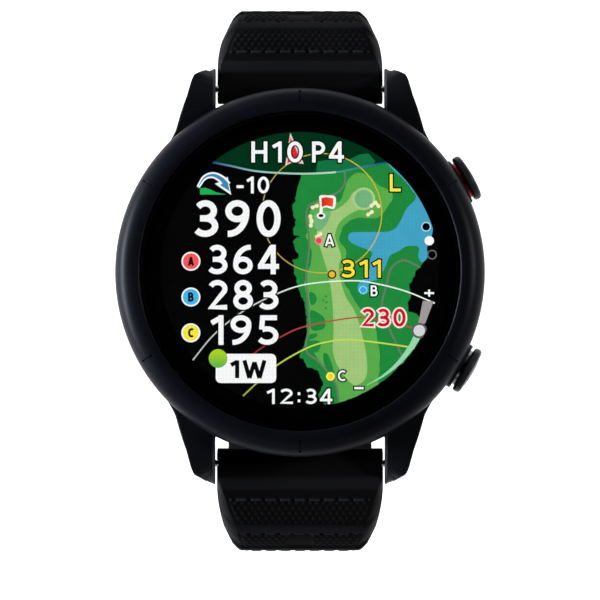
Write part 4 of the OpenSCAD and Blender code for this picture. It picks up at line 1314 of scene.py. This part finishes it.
def picture_slope():
    """The slope sign: a bent arrow over a falling wedge."""
    bow = smooth_line([(-13.1, 10.55), (-12.3, 11.75), (-11.2, 12.1), (-10.1, 11.6), (-9.4, 10.75)], 6)
    widths = [0.42 + 0.75 * i / (len(bow) - 1) for i in range(len(bow))]
    edge = Ink(12).stroke(bow, widths)
    edge.slab([(-10.95, 11.0), (-10.1, 11.35), (-9.3, 11.9), (-8.85, 9.55)]).lit("arrow_edge", WHITE)
    inner = [0.04 + 0.62 * i / (len(bow) - 1) for i in range(len(bow))]
    fill = Ink(13).stroke(bow, inner)
    fill.slab([(-10.3, 10.85), (-9.35, 11.3), (-9.0, 10.0)]).lit("arrow", "#3886b8")
    wedge = outline("-12.85,9.6 -12.85,10.4 -12.2,10.5 -11.5,10.25 -10.8,9.9 -9.6,9.65 -9.6,9.6")
    Ink(12).slab(wedge).lit("wedge", "#1eae55")


def picture_marks():
    """The flag, the target dots and the page dots."""
    flag = [(2.75, 9.15), (3.4, 9.28), (4.3, 9.1), (4.2, 8.0), (3.4, 8.2), (2.8, 8.0)]
    border = outline("2.5,9.4 3.4,9.5 4.55,9.3 4.42,7.8 3.4,7.95 2.95,7.8 2.9,7.1 2.5,7.1 2.55,8.2")
    edge = Ink(12).slab(smooth_loop(border, 4))
    edge.disc(2.7, 6.85, 0.56, 0.42).lit("flag_edge", "#f5f3ee")
    Ink(13).slab(flag).lit("flag", "#d8231d", second="#e8521e", axis="X", low=2.8, high=4.3)
    Ink(13).disc(2.7, 6.88, 0.32, 0.2).lit("cup", "#0a0b0c", 0.05)
    for name, x, y, r, rim, core in (("a", 2.4, 3.65, 0.5, "#f08a8a", "#ee3f57"),
                                     ("b", 8.1, -2.7, 0.55, "#7fd4f0", "#3f9fe8"),
                                     ("c", 3.9, -13.8, 0.55, "#fdf36a", "#f7d51c"),
                                     ("d", 4.1, -0.7, 0.58, "#2a2a20", "#f2b82c")):
        Ink(12).disc(x, y, r).lit("dot_%s_rim" % name, rim)
        Ink(13).disc(x, y, r * 0.68).lit("dot_" + name, core)
    Ink(12).ring(16.2, 5.45, 0.56, 0.14).lit("page_rim", "#a9dce6")
    Ink(11).disc(16.2, 5.45, 0.5).lit("page_past", BLACK, 0.05)
    Ink(12).disc(16.6, 3.65, 0.6).lit("page_now", "#fbfcfc")
    Ink(12).ring(16.95, 1.85, 0.55, 0.14).lit("page_next", "#6f6c6c")


def picture():
    back = Ink(0).disc(0, 0, SCREEN_R, steps=128)
    back.lit("back", "#030304", 0.05)
    border = [(SCREEN_R + 0.02, GLASS_LO.z - 0.022), (GLASS_R - 1.25, GLASS_LO.z - 0.022),
              (GLASS_R - 1.25, GLASS_LO.z - 0.006), (SCREEN_R + 0.02, GLASS_LO.z - 0.006)]
    verts, faces = lathe(border, 160, about_z)
    print_black = moulded_plastic("border_print", "#000001", "#010102", 0.4, 4000, 0.02)
    put("screen_border", verts, faces, print_black, "case", angle=30)
    for part in (picture_map, picture_header, picture_lines, picture_slider, picture_numbers, picture_badges,
                 picture_club, picture_slope, picture_marks):
        part()


# ---------------------------------------------------------------- finishes of the CAD nodes that stay

def finish_nodes():
    steel = brushed_metal("steel_bright", "#9a9da2", "#c8cbd0", "x", 0.24)
    turned = polished_metal("steel_turned", "#9fa2a7", "#cfd2d6", 0.2)
    gold = polished_metal("contact_gold", "#c9993c", "#efcf7c", 0.18)
    alloy = blasted_metal("frame_alloy", "#5f646c", "#7d828a", 0.9, 0.3, 0.45)
    seal = moulded_plastic("seal_rubber", "#1c2a38", "#2a3e52", 0.5)
    adhesive = moulded_plastic("adhesive_black", "#010101", "#020202", 0.6, 2600, 0.05)
    finishes = {
        steel: ["board_shield", "board_screws", "back_screws", "switch_bracket", "upper_bar_tube",
                "lower_bar_tube", "buckle_bar_tube"],
        turned: ["upper_bar_fixed_tip", "lower_bar_fixed_tip", "upper_bar_release", "lower_bar_release",
                 "buckle_bar_tips", "upper_button_sleeve", "lower_button_sleeve", "upper_button_clip",
                 "lower_button_clip", "vibration_motor"],
        SPRING_STEEL: ["buckle_bar_spring"],
        gold: ["charging_contacts", "gps_antenna"],
        alloy: ["mid_frame"],
        seal: ["back_gasket", "upper_button_seals", "lower_button_seals"],
        adhesive: ["glass_adhesive"],
        circuit_board(): ["main_board"],
        chip_black(): ["board_chips"],
        flex_film(): ["display_flex", "charging_flex", "side_flex"],
        battery_foil(): ["battery"],
        panel_black(): ["display_panel"],
        moulded_plastic("wire_red", "#a11c20", "#c42a2e", 0.4): ["battery_lead"],
        moulded_plastic("switch_white", "#c9c9c6", "#e2e2df", 0.4): ["upper_switch", "lower_switch"],
        moulded_plastic("plunger_black", "#2a2b2e", "#3c3e42", 0.4): ["upper_button_plunger",
                                                                      "lower_button_plunger"],
    }
    for material, names in finishes.items():
        for name in names:
            mesh = NODES[name].data
            mesh.materials.clear()
            mesh.materials.append(material)


make_camera()
make_lights()
make_floor()
RUBBER = strap_rubber()
SPRING_STEEL = polished_metal("spring_wire", "#a7aaae", "#d8dadd", 0.18)
bezel()
glass()
case_body()
buttons()
springs()
upper_band()
lower_band()
keepers_and_buckle()
picture()
finish_nodes()
